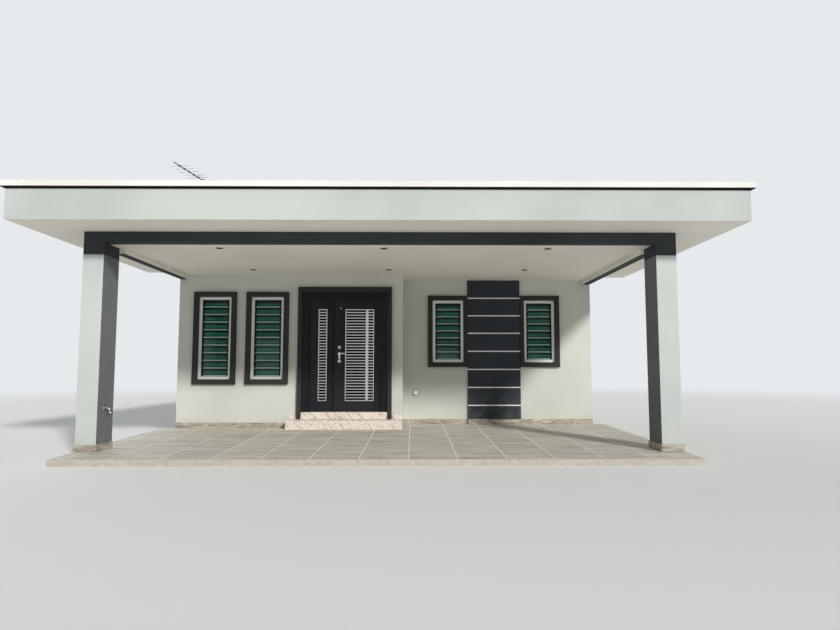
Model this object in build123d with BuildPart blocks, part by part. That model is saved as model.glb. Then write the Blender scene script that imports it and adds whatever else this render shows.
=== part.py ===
from build123d import *
import os
from math import cos, radians, tan

# A single-storey bungalow with a wide flat-roofed car porch, made piece by piece as it is built.
# Millimetres, +Z up. The porch faces -Y. The origin is on the ground under the middle of the building.

# House body
house_width = 7540
house_depth = 11000
wall = 150
bay_width = 3994
bay_recess = 643
house_floor_level = 413
house_ceiling_level = 3461
board = 12

# Porch
porch_depth = 3642
porch_edge_level = 80
porch_edge_setback = 50
porch_fall = 0.0165
porch_ceiling_level = 2849
porch_side_overhang = 845
soffit_level = 2995
roof_slab = 125
parapet_height = 406
parapet_thickness = 120
left_eave_run = 642
right_eave_run = 1228
coping_height = 78
coping_overhang = 55
coping_inner_lap = 30

# Columns and beams
column_centre = {-1: 3838, 1: 3804}
column_width = 275
column_depth = 440
column_setback = 677
front_beam_thickness = 165
side_beam_thickness = 150
side_beam_level = 2775

# Main roof
roof_pitch = 22
eaves_overhang = 600
roof_covering = 60
verge = 50
fascia_board = 25
fascia_board_height = 180
fascia_board_level = 3480
eaves_soffit_level = 3500
cap_half_width = 125
cap_edge_height = 20
cap_crown_height = 55
hip_cap_height = 38
hip_cap_width = 156

# Front door: frame, stepped mouldings, leaves
door_from_bay_edge = 1032
door_frame_width = 1524
door_frame_height = 2134
door_frame_face = 120
door_frame_depth = 114
moulding_step = 12
moulding_bands = 3
rebate = 15
leaf_thickness = 45
leaf_clearance = 5
leaf_floor_gap = 8
meeting_gap = 11
small_leaf_width = 436
grille_height = 1640
grille_base = 190
grille_inset = 6
grille_clearance = 2
grille_thickness = 10
grille_pitch = 50.9
grille_bar = 17
grille_upright = 12
small_grille_width = 156
small_grille_offset = 171
large_grille_width = 514
large_grille_offset = 206
strip_width = 46
strip_offset = 366

# Door furniture and hinges
lever_offset = 103
lever_level = 1032
lever_length = 100
lever_reach = 52
lever_bar = 18
lever_bar_thickness = 12
rose = 46
rose_thickness = 8
upper_rose_rise = 112
lower_rose_drop = 134
peephole_level = 1843
peephole_offset = 126
peephole_radius = 9
hinge_pin_radius = 4
hinge_bore_clearance = 0.1
knuckle_radius = 9
knuckle_length = 40
knuckle_play = 1
hinge_flap = 38
hinge_flap_thickness = 3
low_hinge_level = 240
middle_hinge_level = 1000
high_hinge_level = 1780

# Surrounds, windows, feature panel
surround_band = 90
door_surround_leg = 75
surround_projection = 60
window_width = 578
window_frame_face = 50
window_frame_depth = 60
window_frame_setback = 10
glass_thickness = 6
tall_window_sill = 990
tall_window_height = 1465
short_window_sill = 1299
short_window_height = 1166
first_bay_window = 650
second_bay_window = 1581
first_side_window = 2280
side_window_spacing = 2900
rear_window_offset = 1885
panel_width = 990
panel_projection = 40
panel_shift = 68
panel_window_gap = 78

# Steps, skirting, small fittings
sill_nose = 40
door_step_width = 2013
door_step_depth = 316
door_step_level = 290
skirting_height = 90
skirting_thickness = 12
downlight_spacing = 2300
downlight_front_row = 1080
downlight_rear_row = 2980
downlight_radius = 55
downlight_rim = 4
downlight_can_radius = 42
downlight_can_height = 70
downlight_hole_clearance = 1

# Aerial on the left roof slope
aerial_from_eave = 382
aerial_run = 5348
aerial_level = 5100
aerial_boom = 1206
aerial_boom_drift = -167
mast_radius = 16
boom_radius = 9
element_radius = 4
element_lengths = (620, 470, 440, 420, 400, 385)
first_element = 30
element_pitch = 190
aerial_foot = 120
aerial_foot_height = 40
mast_socket = 10

# Narrow joint between lengths of board, slab or coping that are laid end to end
length_joint = 3
wall_top_play = 0.3

# Lines that the pieces share, left and right of the middle and from front to rear
half_house = house_width / 2
half_roof = half_house + porch_side_overhang
half_eaves = half_house + eaves_overhang
column_inner = {side: centre - column_width / 2 for side, centre in column_centre.items()}
column_outer = {side: centre + column_width / 2 for side, centre in column_centre.items()}
porch_half = max(column_outer.values())
side_beam_inner = half_house - side_beam_thickness
bay_edge = bay_width - half_house
overall_depth = coping_overhang + porch_depth + house_depth + eaves_overhang
fascia_y = coping_overhang - overall_depth / 2
column_y = fascia_y + column_setback
column_rear = column_y + column_depth
beam_rear = column_y + front_beam_thickness
bay_y = fascia_y + porch_depth
recess_y = bay_y + bay_recess
rear_y = bay_y + house_depth
left_eave_end = bay_y + left_eave_run
right_eave_end = bay_y + right_eave_run
parapet_inner = half_roof - parapet_thickness
parapet_rear = fascia_y + parapet_thickness
parapet_top = soffit_level + parapet_height

# Main roof lines: the underside of the slopes starts at the eaves edge and rises by the pitch
rise = tan(radians(roof_pitch))
covering_rise = roof_covering / cos(radians(roof_pitch))
slope_start = fascia_board_level + fascia_board_height - verge * rise
roof_front = bay_y - eaves_overhang
roof_rear = rear_y + eaves_overhang
roof_length = roof_rear - roof_front
roof_middle = (roof_front + roof_rear) / 2
wall_top = slope_start + eaves_overhang * rise - wall_top_play
board_outer = half_eaves - verge
board_inner = board_outer - fascia_board

# Front door lines
door_centre = bay_edge - door_from_bay_edge
frame_left = door_centre - door_frame_width / 2
frame_right = door_centre + door_frame_width / 2
frame_top = house_floor_level + door_frame_height
frame_front = bay_y - (moulding_bands - 1) * moulding_step
frame_rear = frame_front + door_frame_depth
leaf_front = frame_rear - leaf_thickness
stop_y = leaf_front - leaf_clearance
leaf_left = frame_left + door_frame_face - rebate + leaf_clearance
leaf_right = frame_right - door_frame_face + rebate - leaf_clearance
leaf_meeting = leaf_left + small_leaf_width
leaf_bottom = house_floor_level + leaf_floor_gap
leaf_top = frame_top - door_frame_face + rebate - leaf_clearance
hinge_y = frame_rear + knuckle_radius
hinge_left = leaf_left - leaf_clearance / 2
hinge_right = leaf_right + leaf_clearance / 2
grille_bottom = house_floor_level + grille_base
hinge_levels = (low_hinge_level, middle_hinge_level, high_hinge_level)


def porch_level(y):
    return porch_edge_level + (y - fascia_y) * porch_fall


# Adds or cuts a box given by its low and high limits along X, Y and Z
def block(x, y, z, mode=Mode.ADD):
    with Locations(((x[0] + x[1]) / 2, (y[0] + y[1]) / 2, (z[0] + z[1]) / 2)):
        Box(x[1] - x[0], y[1] - y[0], z[1] - z[0], mode=mode)


# Adds or cuts a round bar between two heights
def post(x, y, z, radius, mode=Mode.ADD):
    with Locations((x, y, (z[0] + z[1]) / 2)):
        Cylinder(radius, z[1] - z[0], mode=mode)


def finish(piece, name):
    piece.part.label = name
    export_step(piece.part, f"parts/{name}.step")


os.makedirs("parts", exist_ok=True)

# Porch floor: a slab that falls away from the house, notched round the columns
with BuildPart() as porch_floor:
    slab_front = fascia_y + porch_edge_setback
    with BuildSketch(Plane.YZ.offset(-porch_half)):
        with BuildLine():
            Polyline(
                (slab_front, 0),
                (bay_y, 0),
                (bay_y, porch_level(bay_y)),
                (slab_front, porch_level(slab_front)),
                close=True,
            )
        make_face()
    extrude(amount=2 * porch_half)
    with BuildSketch(Plane.YZ.offset(bay_edge)):
        with BuildLine():
            Polyline(
                (bay_y, 0),
                (recess_y, 0),
                (recess_y, porch_level(recess_y)),
                (bay_y, porch_level(bay_y)),
                close=True,
            )
        make_face()
    extrude(amount=porch_half - bay_edge)
    for side in (-1, 1):
        column_x = sorted((side * column_inner[side], side * column_outer[side]))
        block(column_x, (column_y, column_rear), (0, house_floor_level), Mode.SUBTRACT)
finish(porch_floor, "porch_floor")

# House floor: one raised floor inside the walls, in two bays
with BuildPart() as house_floor:
    floor_z = (0, house_floor_level)
    block((wall - half_house, bay_edge - wall), (bay_y + wall, recess_y + wall - length_joint), floor_z)
    block((wall - half_house, half_house - wall), (recess_y + wall, rear_y - wall), floor_z)
finish(house_floor, "house_floor")

# Columns run from the ground to the underside of the roof slab
with BuildPart() as porch_columns:
    for side in (-1, 1):
        column_x = sorted((side * column_inner[side], side * column_outer[side]))
        block(column_x, (column_y, column_rear), (0, soffit_level))
finish(porch_columns, "porch_columns")

# Beams: one across the front between the columns, one each side from column to house
with BuildPart() as porch_beams:
    block((-column_inner[-1], column_inner[1]), (column_y, beam_rear), (porch_ceiling_level, soffit_level))
    block((-half_house, -side_beam_inner), (column_rear, bay_y), (side_beam_level, soffit_level))
    block((side_beam_inner, half_house), (column_rear, recess_y), (side_beam_level, soffit_level))
finish(porch_beams, "porch_beams")

slab_z = (soffit_level, soffit_level + roof_slab)
with BuildPart() as porch_roof_slab:
    block((-parapet_inner, parapet_inner), (parapet_rear, bay_y), slab_z)
finish(porch_roof_slab, "porch_roof_slab")

# Slabs that carry the flat roof on past the bay wall: both side overhangs and the recess
with BuildPart() as return_roof_slabs:
    block((-parapet_inner, -half_house), (bay_y, left_eave_end - parapet_thickness), slab_z)
    block((bay_edge, half_house - length_joint), (bay_y, recess_y), slab_z)
    block((half_house, parapet_inner), (bay_y, right_eave_end - parapet_thickness), slab_z)
finish(return_roof_slabs, "return_roof_slabs")

parapet_z = (soffit_level, parapet_top)
with BuildPart() as parapet_front:
    block((-half_roof, half_roof), (fascia_y, parapet_rear), parapet_z)
finish(parapet_front, "parapet_front")

with BuildPart() as parapet_sides:
    block((-half_roof, -parapet_inner), (parapet_rear, left_eave_end), parapet_z)
    block((parapet_inner, half_roof), (parapet_rear, right_eave_end), parapet_z)
finish(parapet_sides, "parapet_sides")

with BuildPart() as parapet_returns:
    block((-parapet_inner, -half_house), (left_eave_end - parapet_thickness, left_eave_end), parapet_z)
    block((half_house, parapet_inner), (right_eave_end - parapet_thickness, right_eave_end), parapet_z)
finish(parapet_returns, "parapet_returns")

# Coping: cream caps that oversail the parapets, in lengths with open joints
with BuildPart() as porch_coping:
    cap_z = (parapet_top, parapet_top + coping_height)
    cap_outer = half_roof + coping_overhang
    cap_inner = parapet_inner - coping_inner_lap
    cap_front = fascia_y - coping_overhang
    cap_back = parapet_rear + coping_inner_lap
    block((-cap_outer, cap_outer), (cap_front, cap_back), cap_z)
    for side, end in ((-1, left_eave_end), (1, right_eave_end)):
        side_x = sorted((side * cap_inner, side * cap_outer))
        return_x = sorted((side * half_house, side * (cap_inner - length_joint)))
        block(side_x, (cap_back + length_joint, end), cap_z)
        block(return_x, (end - parapet_thickness - coping_inner_lap, end), cap_z)
finish(porch_coping, "porch_coping")

# Porch ceiling boards, with holes for the downlights
downlight_columns = (-downlight_spacing, 0, downlight_spacing)
downlight_rows = (downlight_front_row, downlight_rear_row)
downlight_spots = [(x, fascia_y + y) for x in downlight_columns for y in downlight_rows]
with BuildPart() as porch_ceiling:
    ceiling_z = (porch_ceiling_level, porch_ceiling_level + board)
    block((-side_beam_inner, side_beam_inner), (beam_rear, bay_y - length_joint), ceiling_z)
    block((bay_edge, side_beam_inner), (bay_y, recess_y), ceiling_z)
    for side in (-1, 1):
        infill_x = sorted((side * (side_beam_inner + length_joint), side * column_inner[side]))
        block(infill_x, (beam_rear, column_rear), ceiling_z)
    for x, y in downlight_spots:
        post(x, y, ceiling_z, downlight_can_radius + downlight_hole_clearance, Mode.SUBTRACT)
finish(porch_ceiling, "porch_ceiling")

with BuildPart() as downlights:
    for x, y in downlight_spots:
        post(x, y, (porch_ceiling_level - downlight_rim, porch_ceiling_level), downlight_radius)
        post(x, y, (porch_ceiling_level, porch_ceiling_level + downlight_can_height), downlight_can_radius)
finish(downlights, "downlights")

# The outer face of each wall, the axis that it faces along and the way it faces
wall_faces = {
    "bay": (bay_y, "y", -1),
    "recess": (recess_y, "y", -1),
    "rear": (rear_y, "y", 1),
    "left": (-half_house, "x", -1),
    "right": (half_house, "x", 1),
}


# A box on a wall: its limits along the wall, out from the outer face, and in height
def wall_block(side, along, out, z, mode=Mode.ADD):
    face, axis, way = wall_faces[side]
    across = sorted((face + way * out[0], face + way * out[1]))
    if axis == "y":
        block(along, across, z, mode)
    else:
        block(across, along, z, mode)


# Windows: the wall, the middle of the opening, sill height and height of opening
panel_left = (bay_edge + half_house - panel_width) / 2 - panel_shift
panel_right = panel_left + panel_width
half_window = window_width / 2
tall = (tall_window_sill, tall_window_height)
short = (short_window_sill, short_window_height)
windows = [("bay", -half_house + offset, *tall) for offset in (first_bay_window, second_bay_window)]
windows.append(("recess", panel_left - panel_window_gap - half_window, *short))
windows.append(("recess", panel_right + panel_window_gap + half_window, *short))
for number in range(3):
    side_y = recess_y + first_side_window + number * side_window_spacing
    windows.append(("left", side_y, *short))
    windows.append(("right", side_y, *short))
windows.append(("rear", -rear_window_offset, *short))
windows.append(("rear", rear_window_offset, *short))


def cut_windows(side):
    for wall_name, middle, sill, height in windows:
        if wall_name == side:
            along = (middle - half_window, middle + half_window)
            wall_block(side, along, (-wall, 0), (sill, sill + height), Mode.SUBTRACT)


wall_z = (0, wall_top)
with BuildPart() as bay_wall_left:
    block((-half_house, frame_left), (bay_y, bay_y + wall), wall_z)
    cut_windows("bay")
finish(bay_wall_left, "bay_wall_left")

with BuildPart() as bay_wall_right:
    block((frame_right, bay_edge), (bay_y, bay_y + wall), wall_z)
finish(bay_wall_right, "bay_wall_right")

with BuildPart() as bay_wall_head:
    block((frame_left, frame_right), (bay_y, bay_y + wall), (frame_top, wall_top))
finish(bay_wall_head, "bay_wall_head")

with BuildPart() as bay_return_wall:
    block((bay_edge - wall, bay_edge), (bay_y + wall, recess_y + wall), wall_z)
finish(bay_return_wall, "bay_return_wall")

with BuildPart() as front_wall_right:
    block((bay_edge, half_house), (recess_y, recess_y + wall), wall_z)
    cut_windows("recess")
finish(front_wall_right, "front_wall_right")

with BuildPart() as left_wall:
    block((-half_house, wall - half_house), (bay_y + wall, rear_y - wall), wall_z)
    cut_windows("left")
finish(left_wall, "left_wall")

with BuildPart() as right_wall:
    block((half_house - wall, half_house), (recess_y + wall, rear_y - wall), wall_z)
    cut_windows("right")
finish(right_wall, "right_wall")

with BuildPart() as rear_wall:
    block((-half_house, half_house), (rear_y - wall, rear_y), wall_z)
    cut_windows("rear")
finish(rear_wall, "rear_wall")

with BuildPart() as house_ceiling:
    ceiling_z = (house_ceiling_level, house_ceiling_level + board)
    block((wall - half_house, bay_edge - wall), (bay_y + wall, recess_y + wall - length_joint), ceiling_z)
    block((wall - half_house, half_house - wall), (recess_y + wall, rear_y - wall), ceiling_z)
finish(house_ceiling, "house_ceiling")

# Feature panel: a proud plaster pier between the two right-hand windows
with BuildPart() as feature_panel:
    panel_z = (porch_level(recess_y), porch_ceiling_level)
    wall_block("recess", (panel_left, panel_right), (0, panel_projection), panel_z)
    with BuildSketch(Plane.YZ.offset(panel_left)):
        with BuildLine():
            Polyline(
                (recess_y - panel_projection, porch_level(recess_y - panel_projection)),
                (recess_y, porch_level(recess_y)),
                (recess_y - panel_projection, porch_level(recess_y)),
                close=True,
            )
        make_face()
    extrude(amount=panel_width)
finish(feature_panel, "feature_panel")

# Window surrounds: proud plaster bands; beside the feature panel the band runs up to its edge
with BuildPart() as window_surrounds:
    for side, middle, sill, height in windows:
        low = middle - half_window
        high = middle + half_window
        outer_low = low - surround_band
        outer_high = high + surround_band
        if side == "recess" and middle < panel_left:
            outer_high = panel_left
        if side == "recess" and middle > panel_right:
            outer_low = panel_right
        outer_z = (sill - surround_band, sill + height + surround_band)
        wall_block(side, (outer_low, outer_high), (0, surround_projection), outer_z)
        wall_block(side, (low, high), (0, surround_projection), (sill, sill + height), Mode.SUBTRACT)
finish(window_surrounds, "window_surrounds")

frame_out = (-window_frame_setback - window_frame_depth, -window_frame_setback)
with BuildPart() as window_frames:
    for side, middle, sill, height in windows:
        low = middle - half_window
        high = middle + half_window
        pane_along = (low + window_frame_face, high - window_frame_face)
        pane_z = (sill + window_frame_face, sill + height - window_frame_face)
        wall_block(side, (low, high), frame_out, (sill, sill + height))
        wall_block(side, pane_along, frame_out, pane_z, Mode.SUBTRACT)
finish(window_frames, "window_frames")

with BuildPart() as window_glass:
    glass_middle = -window_frame_setback - window_frame_depth / 2
    glass_out = (glass_middle - glass_thickness / 2, glass_middle + glass_thickness / 2)
    for side, middle, sill, height in windows:
        pane_along = (middle - half_window + window_frame_face, middle + half_window - window_frame_face)
        pane_z = (sill + window_frame_face, sill + height - window_frame_face)
        wall_block(side, pane_along, glass_out, pane_z)
finish(window_glass, "window_glass")

# Step and sill at the front door
step_left = bay_edge - door_step_width
step_front = bay_y - door_step_depth
with BuildPart() as door_step:
    with BuildSketch(Plane.YZ.offset(step_left)):
        with BuildLine():
            Polyline(
                (step_front, porch_level(step_front)),
                (bay_y, porch_level(bay_y)),
                (bay_y, door_step_level),
                (step_front, door_step_level),
                close=True,
            )
        make_face()
    extrude(amount=door_step_width)
finish(door_step, "door_step")

with BuildPart() as door_sill:
    block((frame_left, frame_right), (bay_y, bay_y + wall), (0, house_floor_level))
    block((frame_left, frame_right), (bay_y - sill_nose, bay_y), (door_step_level, house_floor_level))
finish(door_sill, "door_sill")

# Plaster surround of the door: two legs on the step, and a head
surround_out = (0, surround_projection)
surround_top = frame_top + surround_band
with BuildPart() as door_surround_jambs:
    for inner, way in ((frame_left, -1), (frame_right, 1)):
        leg = sorted((inner, inner + way * door_surround_leg))
        wall_block("bay", leg, surround_out, (door_step_level, surround_top))
finish(door_surround_jambs, "door_surround_jambs")

with BuildPart() as door_surround_head:
    wall_block("bay", (frame_left, frame_right), surround_out, (frame_top, surround_top))
finish(door_surround_head, "door_surround_head")

# Door frame: stepped bands in front of the stop, and a rebate that the leaves close into
band_width = door_frame_face / moulding_bands
with BuildPart() as door_frame_jambs:
    for edge, way in ((frame_left, 1), (frame_right, -1)):
        rebate_x = sorted((edge, edge + way * (door_frame_face - rebate)))
        block(rebate_x, (stop_y, frame_rear), (house_floor_level, frame_top))
        for band in range(moulding_bands):
            band_x = sorted((edge + way * band * band_width, edge + way * (band + 1) * band_width))
            band_front = frame_front + band * moulding_step
            block(band_x, (band_front, stop_y), (house_floor_level, frame_top))
finish(door_frame_jambs, "door_frame_jambs")

with BuildPart() as door_frame_head:
    head_x = (frame_left + door_frame_face, frame_right - door_frame_face)
    for band in range(moulding_bands):
        band_front = frame_front + band * moulding_step
        block(head_x, (band_front, stop_y), (frame_top - (band + 1) * band_width, frame_top))
    rebate_head_x = (frame_left + door_frame_face - rebate, frame_right - door_frame_face + rebate)
    block(rebate_head_x, (stop_y, frame_rear), (frame_top - door_frame_face + rebate, frame_top))
finish(door_frame_head, "door_frame_head")


# A door leaf: a slab with a shallow pocket for its grille in the outer face
def leaf(x, grille_x):
    block(x, (leaf_front, frame_rear), (leaf_bottom, leaf_top))
    pocket_x = (grille_x[0] - grille_clearance, grille_x[1] + grille_clearance)
    pocket_z = (grille_bottom - grille_clearance, grille_bottom + grille_height + grille_clearance)
    block(pocket_x, (leaf_front, leaf_front + grille_inset), pocket_z, Mode.SUBTRACT)


# A grille of flat bars between two uprights, standing in its pocket
def grille(x):
    grille_y = (leaf_front + grille_inset - grille_thickness, leaf_front + grille_inset)
    grille_top = grille_bottom + grille_height
    block((x[0], x[0] + grille_upright), grille_y, (grille_bottom, grille_top))
    block((x[1] - grille_upright, x[1]), grille_y, (grille_bottom, grille_top))
    spaces = round((grille_height - grille_bar) / grille_pitch)
    step = (grille_height - grille_bar) / spaces
    for bar in range(spaces + 1):
        bar_bottom = grille_bottom + bar * step
        block((x[0] + grille_upright, x[1] - grille_upright), grille_y, (bar_bottom, bar_bottom + grille_bar))


small_leaf_x = (leaf_left, leaf_meeting)
large_leaf_x = (leaf_meeting + meeting_gap, leaf_right)
small_grille_x = (leaf_left + small_grille_offset, leaf_left + small_grille_offset + small_grille_width)
large_grille_x = (
    large_leaf_x[0] + large_grille_offset,
    large_leaf_x[0] + large_grille_offset + large_grille_width,
)

with BuildPart() as door_leaf_small:
    leaf(small_leaf_x, small_grille_x)
finish(door_leaf_small, "door_leaf_small")

with BuildPart() as door_leaf_large:
    leaf(large_leaf_x, large_grille_x)
finish(door_leaf_large, "door_leaf_large")

with BuildPart() as door_grille_small:
    grille(small_grille_x)
finish(door_grille_small, "door_grille_small")

with BuildPart() as door_grille_large:
    grille(large_grille_x)
    strip_x = (large_grille_x[0] + strip_offset, large_grille_x[0] + strip_offset + strip_width)
    strip_y = (leaf_front + grille_inset - grille_thickness, leaf_front + grille_inset)
    block(strip_x, strip_y, (grille_bottom, grille_bottom + grille_height))
finish(door_grille_large, "door_grille_large")


# The leaf's half of each hinge: a bored knuckle and a flap screwed to the leaf's inner face
def leaf_knuckles(axis_x, edge_x, way):
    for level in hinge_levels:
        middle = house_floor_level + level
        knuckle_z = (middle - knuckle_length / 2, middle + knuckle_length / 2)
        flap_x = sorted((edge_x, edge_x + way * hinge_flap))
        block(flap_x, (frame_rear, frame_rear + hinge_flap_thickness), knuckle_z)
        post(axis_x, hinge_y, knuckle_z, knuckle_radius)
        post(axis_x, hinge_y, knuckle_z, hinge_pin_radius + hinge_bore_clearance, Mode.SUBTRACT)


# The frame's half: a pin between two knuckles with flaps on the frame's inner face
with BuildPart() as door_hinges:
    for axis_x, way in ((hinge_left, -1), (hinge_right, 1)):
        edge_x = axis_x + way * leaf_clearance / 2
        flap_x = sorted((edge_x, edge_x + way * hinge_flap))
        for level in hinge_levels:
            middle = house_floor_level + level
            inner = knuckle_length / 2 + knuckle_play
            outer = inner + knuckle_length
            post(axis_x, hinge_y, (middle - outer, middle + outer), hinge_pin_radius)
            for knuckle_z in ((middle - outer, middle - inner), (middle + inner, middle + outer)):
                post(axis_x, hinge_y, knuckle_z, knuckle_radius)
                block(flap_x, (frame_rear, frame_rear + hinge_flap_thickness), knuckle_z)
finish(door_hinges, "door_hinges")

with BuildPart() as door_fittings_small:
    leaf_knuckles(hinge_left, leaf_left, 1)
finish(door_fittings_small, "door_fittings_small")

# Large leaf: hinge halves, lever handles inside and outside, lock roses and a peephole
with BuildPart() as door_fittings_large:
    leaf_knuckles(hinge_right, leaf_right, -1)
    lever_x = large_leaf_x[0] + lever_offset
    lever_z = house_floor_level + lever_level
    half_rose = rose / 2
    for face, way in ((leaf_front, -1), (frame_rear, 1)):
        rose_y = sorted((face, face + way * rose_thickness))
        reach_y = sorted((face, face + way * lever_reach))
        bar_y = sorted((face + way * (lever_reach - lever_bar_thickness), face + way * lever_reach))
        for z in (lever_z, lever_z + upper_rose_rise, lever_z - lower_rose_drop):
            block((lever_x - half_rose, lever_x + half_rose), rose_y, (z - half_rose, z + half_rose))
        neck_x = (lever_x - lever_bar / 2, lever_x + lever_bar / 2)
        bar_x = (lever_x - lever_bar / 2, lever_x + lever_length)
        bar_z = (lever_z - lever_bar / 2, lever_z + lever_bar / 2)
        block(neck_x, reach_y, bar_z)
        block(bar_x, bar_y, bar_z)
    peephole_x = large_leaf_x[0] + peephole_offset
    peephole_z = house_floor_level + peephole_level
    with Locations(Plane((peephole_x, leaf_front, peephole_z), z_dir=(0, -1, 0))):
        Cylinder(peephole_radius, rose_thickness, align=(Align.CENTER, Align.CENTER, Align.MIN))
finish(door_fittings_large, "door_fittings_large")

# Tile skirting along the porch walls and round the columns, following the fall of the floor
with BuildPart() as tile_skirting:
    wall_foot = porch_level(bay_y)
    recess_foot = porch_level(recess_y)
    tile_out = (0, skirting_thickness)
    wall_block("bay", (-half_house, step_left), tile_out, (wall_foot, wall_foot + skirting_height))
    recess_z = (recess_foot, recess_foot + skirting_height)
    wall_block("recess", (bay_edge + skirting_thickness + length_joint, panel_left), tile_out, recess_z)
    wall_block("recess", (panel_right, half_house), tile_out, recess_z)
    panel_out = (panel_projection, panel_projection + skirting_thickness)
    wall_block("recess", (panel_left, panel_right), panel_out, recess_z)
    block((bay_edge, bay_edge + skirting_thickness), (bay_y, recess_y), recess_z)
    for side in (-1, 1):
        ring_x = sorted((side * column_inner[side], side * column_outer[side]))
        ring_y = (column_y, column_rear)
        low_x = (ring_x[0] - skirting_thickness, ring_x[1] + skirting_thickness)
        low_y = (ring_y[0] - skirting_thickness, ring_y[1] + skirting_thickness)
        ring_z = (porch_level(low_y[1]), porch_level(low_y[1]) + skirting_height)
        block(low_x, low_y, ring_z)
        block(ring_x, ring_y, ring_z, Mode.SUBTRACT)
finish(tile_skirting, "tile_skirting")


# One slope of the main roof: its outline lies on the sloping underside and is raised straight up
def slope_plane(x, y, towards):
    along = Vector(*towards, 0).rotate(Axis.Z, -90)
    normal = Vector(-towards[0] * rise, -towards[1] * rise, 1)
    return Plane((x, y, slope_start), x_dir=along, z_dir=normal)


# The same plane raised to the upper face of the tiles
def slope_top(plane):
    raised = Vector(plane.origin.X, plane.origin.Y, slope_start + covering_rise)
    return Plane(raised, x_dir=plane.x_dir, z_dir=plane.z_dir)


slope_reach = half_eaves / cos(radians(roof_pitch))
half_length = roof_length / 2
left_plane = slope_plane(-half_eaves, roof_middle, (1, 0))
right_plane = slope_plane(half_eaves, roof_middle, (-1, 0))
front_plane = slope_plane(0, roof_front, (0, 1))
rear_plane = slope_plane(0, roof_rear, (0, -1))
long_slope = (
    (-half_length, 0),
    (half_length, 0),
    (half_length - half_eaves, slope_reach),
    (half_eaves - half_length, slope_reach),
)
hip_slope = ((-half_eaves, 0), (half_eaves, 0), (0, slope_reach))

with BuildPart() as roof_slope_left:
    with BuildSketch(left_plane):
        with BuildLine():
            Polyline(*long_slope, close=True)
        make_face()
    extrude(amount=covering_rise, dir=(0, 0, 1))
finish(roof_slope_left, "roof_slope_left")

with BuildPart() as roof_slope_right:
    with BuildSketch(right_plane):
        with BuildLine():
            Polyline(*long_slope, close=True)
        make_face()
    extrude(amount=covering_rise, dir=(0, 0, 1))
finish(roof_slope_right, "roof_slope_right")

with BuildPart() as roof_hip_ends:
    for plane in (front_plane, rear_plane):
        with BuildSketch(plane):
            with BuildLine():
                Polyline(*hip_slope, close=True)
            make_face()
        extrude(amount=covering_rise, dir=(0, 0, 1))
finish(roof_hip_ends, "roof_hip_ends")

# Caps over the ridge and the four hips
ridge_half = half_length - half_eaves
roof_crown = slope_start + covering_rise + half_eaves * rise
cap_side_level = roof_crown - cap_half_width * rise
with BuildPart() as ridge_and_hip_caps:
    with BuildSketch(Plane.XZ.offset(-(roof_middle - ridge_half))):
        with BuildLine():
            Polyline(
                (-cap_half_width, cap_side_level),
                (0, roof_crown),
                (cap_half_width, cap_side_level),
                (cap_half_width, cap_side_level + cap_edge_height),
                (0, roof_crown + cap_crown_height),
                (-cap_half_width, cap_side_level + cap_edge_height),
                close=True,
            )
        make_face()
    extrude(amount=-2 * ridge_half)
    side_reach = slope_reach - (cap_half_width + length_joint) / cos(radians(roof_pitch))
    end_reach = slope_reach - length_joint / cos(radians(roof_pitch))
    for plane, corner, reach in (
        (left_plane, half_length, side_reach),
        (right_plane, half_length, side_reach),
        (front_plane, half_eaves, end_reach),
        (rear_plane, half_eaves, end_reach),
    ):
        for way in (-1, 1):
            foot = way * corner
            crown = foot - way * half_eaves * reach / slope_reach
            inward = -way * hip_cap_width
            with BuildSketch(slope_top(plane)):
                with BuildLine():
                    Polyline(
                        (foot, 0),
                        (crown, reach),
                        (crown + inward, reach),
                        (foot + inward, 0),
                        close=True,
                    )
                make_face()
            extrude(amount=hip_cap_height, dir=(0, 0, 1))
finish(ridge_and_hip_caps, "ridge_and_hip_caps")

# Eaves soffit boards and fascia boards round the main roof
with BuildPart() as eaves_soffit:
    soffit_z = (eaves_soffit_level, eaves_soffit_level + board)
    soffit_front = roof_front + verge + fascia_board
    soffit_rear = roof_rear - verge - fascia_board
    block((-board_inner, board_inner), (soffit_front, bay_y - length_joint), soffit_z)
    block((bay_edge, half_house - length_joint), (bay_y, recess_y), soffit_z)
    block((-board_inner, -half_house), (bay_y, rear_y), soffit_z)
    block((half_house, board_inner), (bay_y, rear_y), soffit_z)
    block((-board_inner, board_inner), (rear_y + length_joint, soffit_rear), soffit_z)
finish(eaves_soffit, "eaves_soffit")

with BuildPart() as eaves_fascia:
    fascia_z = (fascia_board_level, fascia_board_level + fascia_board_height)
    fascia_front = roof_front + verge
    fascia_rear = roof_rear - verge
    for side in (-1, 1):
        board_x = sorted((side * board_inner, side * board_outer))
        board_y = (fascia_front + fascia_board + length_joint, fascia_rear - fascia_board - length_joint)
        block(board_x, board_y, fascia_z)
    block((-board_outer, board_outer), (fascia_front, fascia_front + fascia_board), fascia_z)
    block((-board_outer, board_outer), (fascia_rear - fascia_board, fascia_rear), fascia_z)
finish(eaves_fascia, "eaves_fascia")

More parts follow.
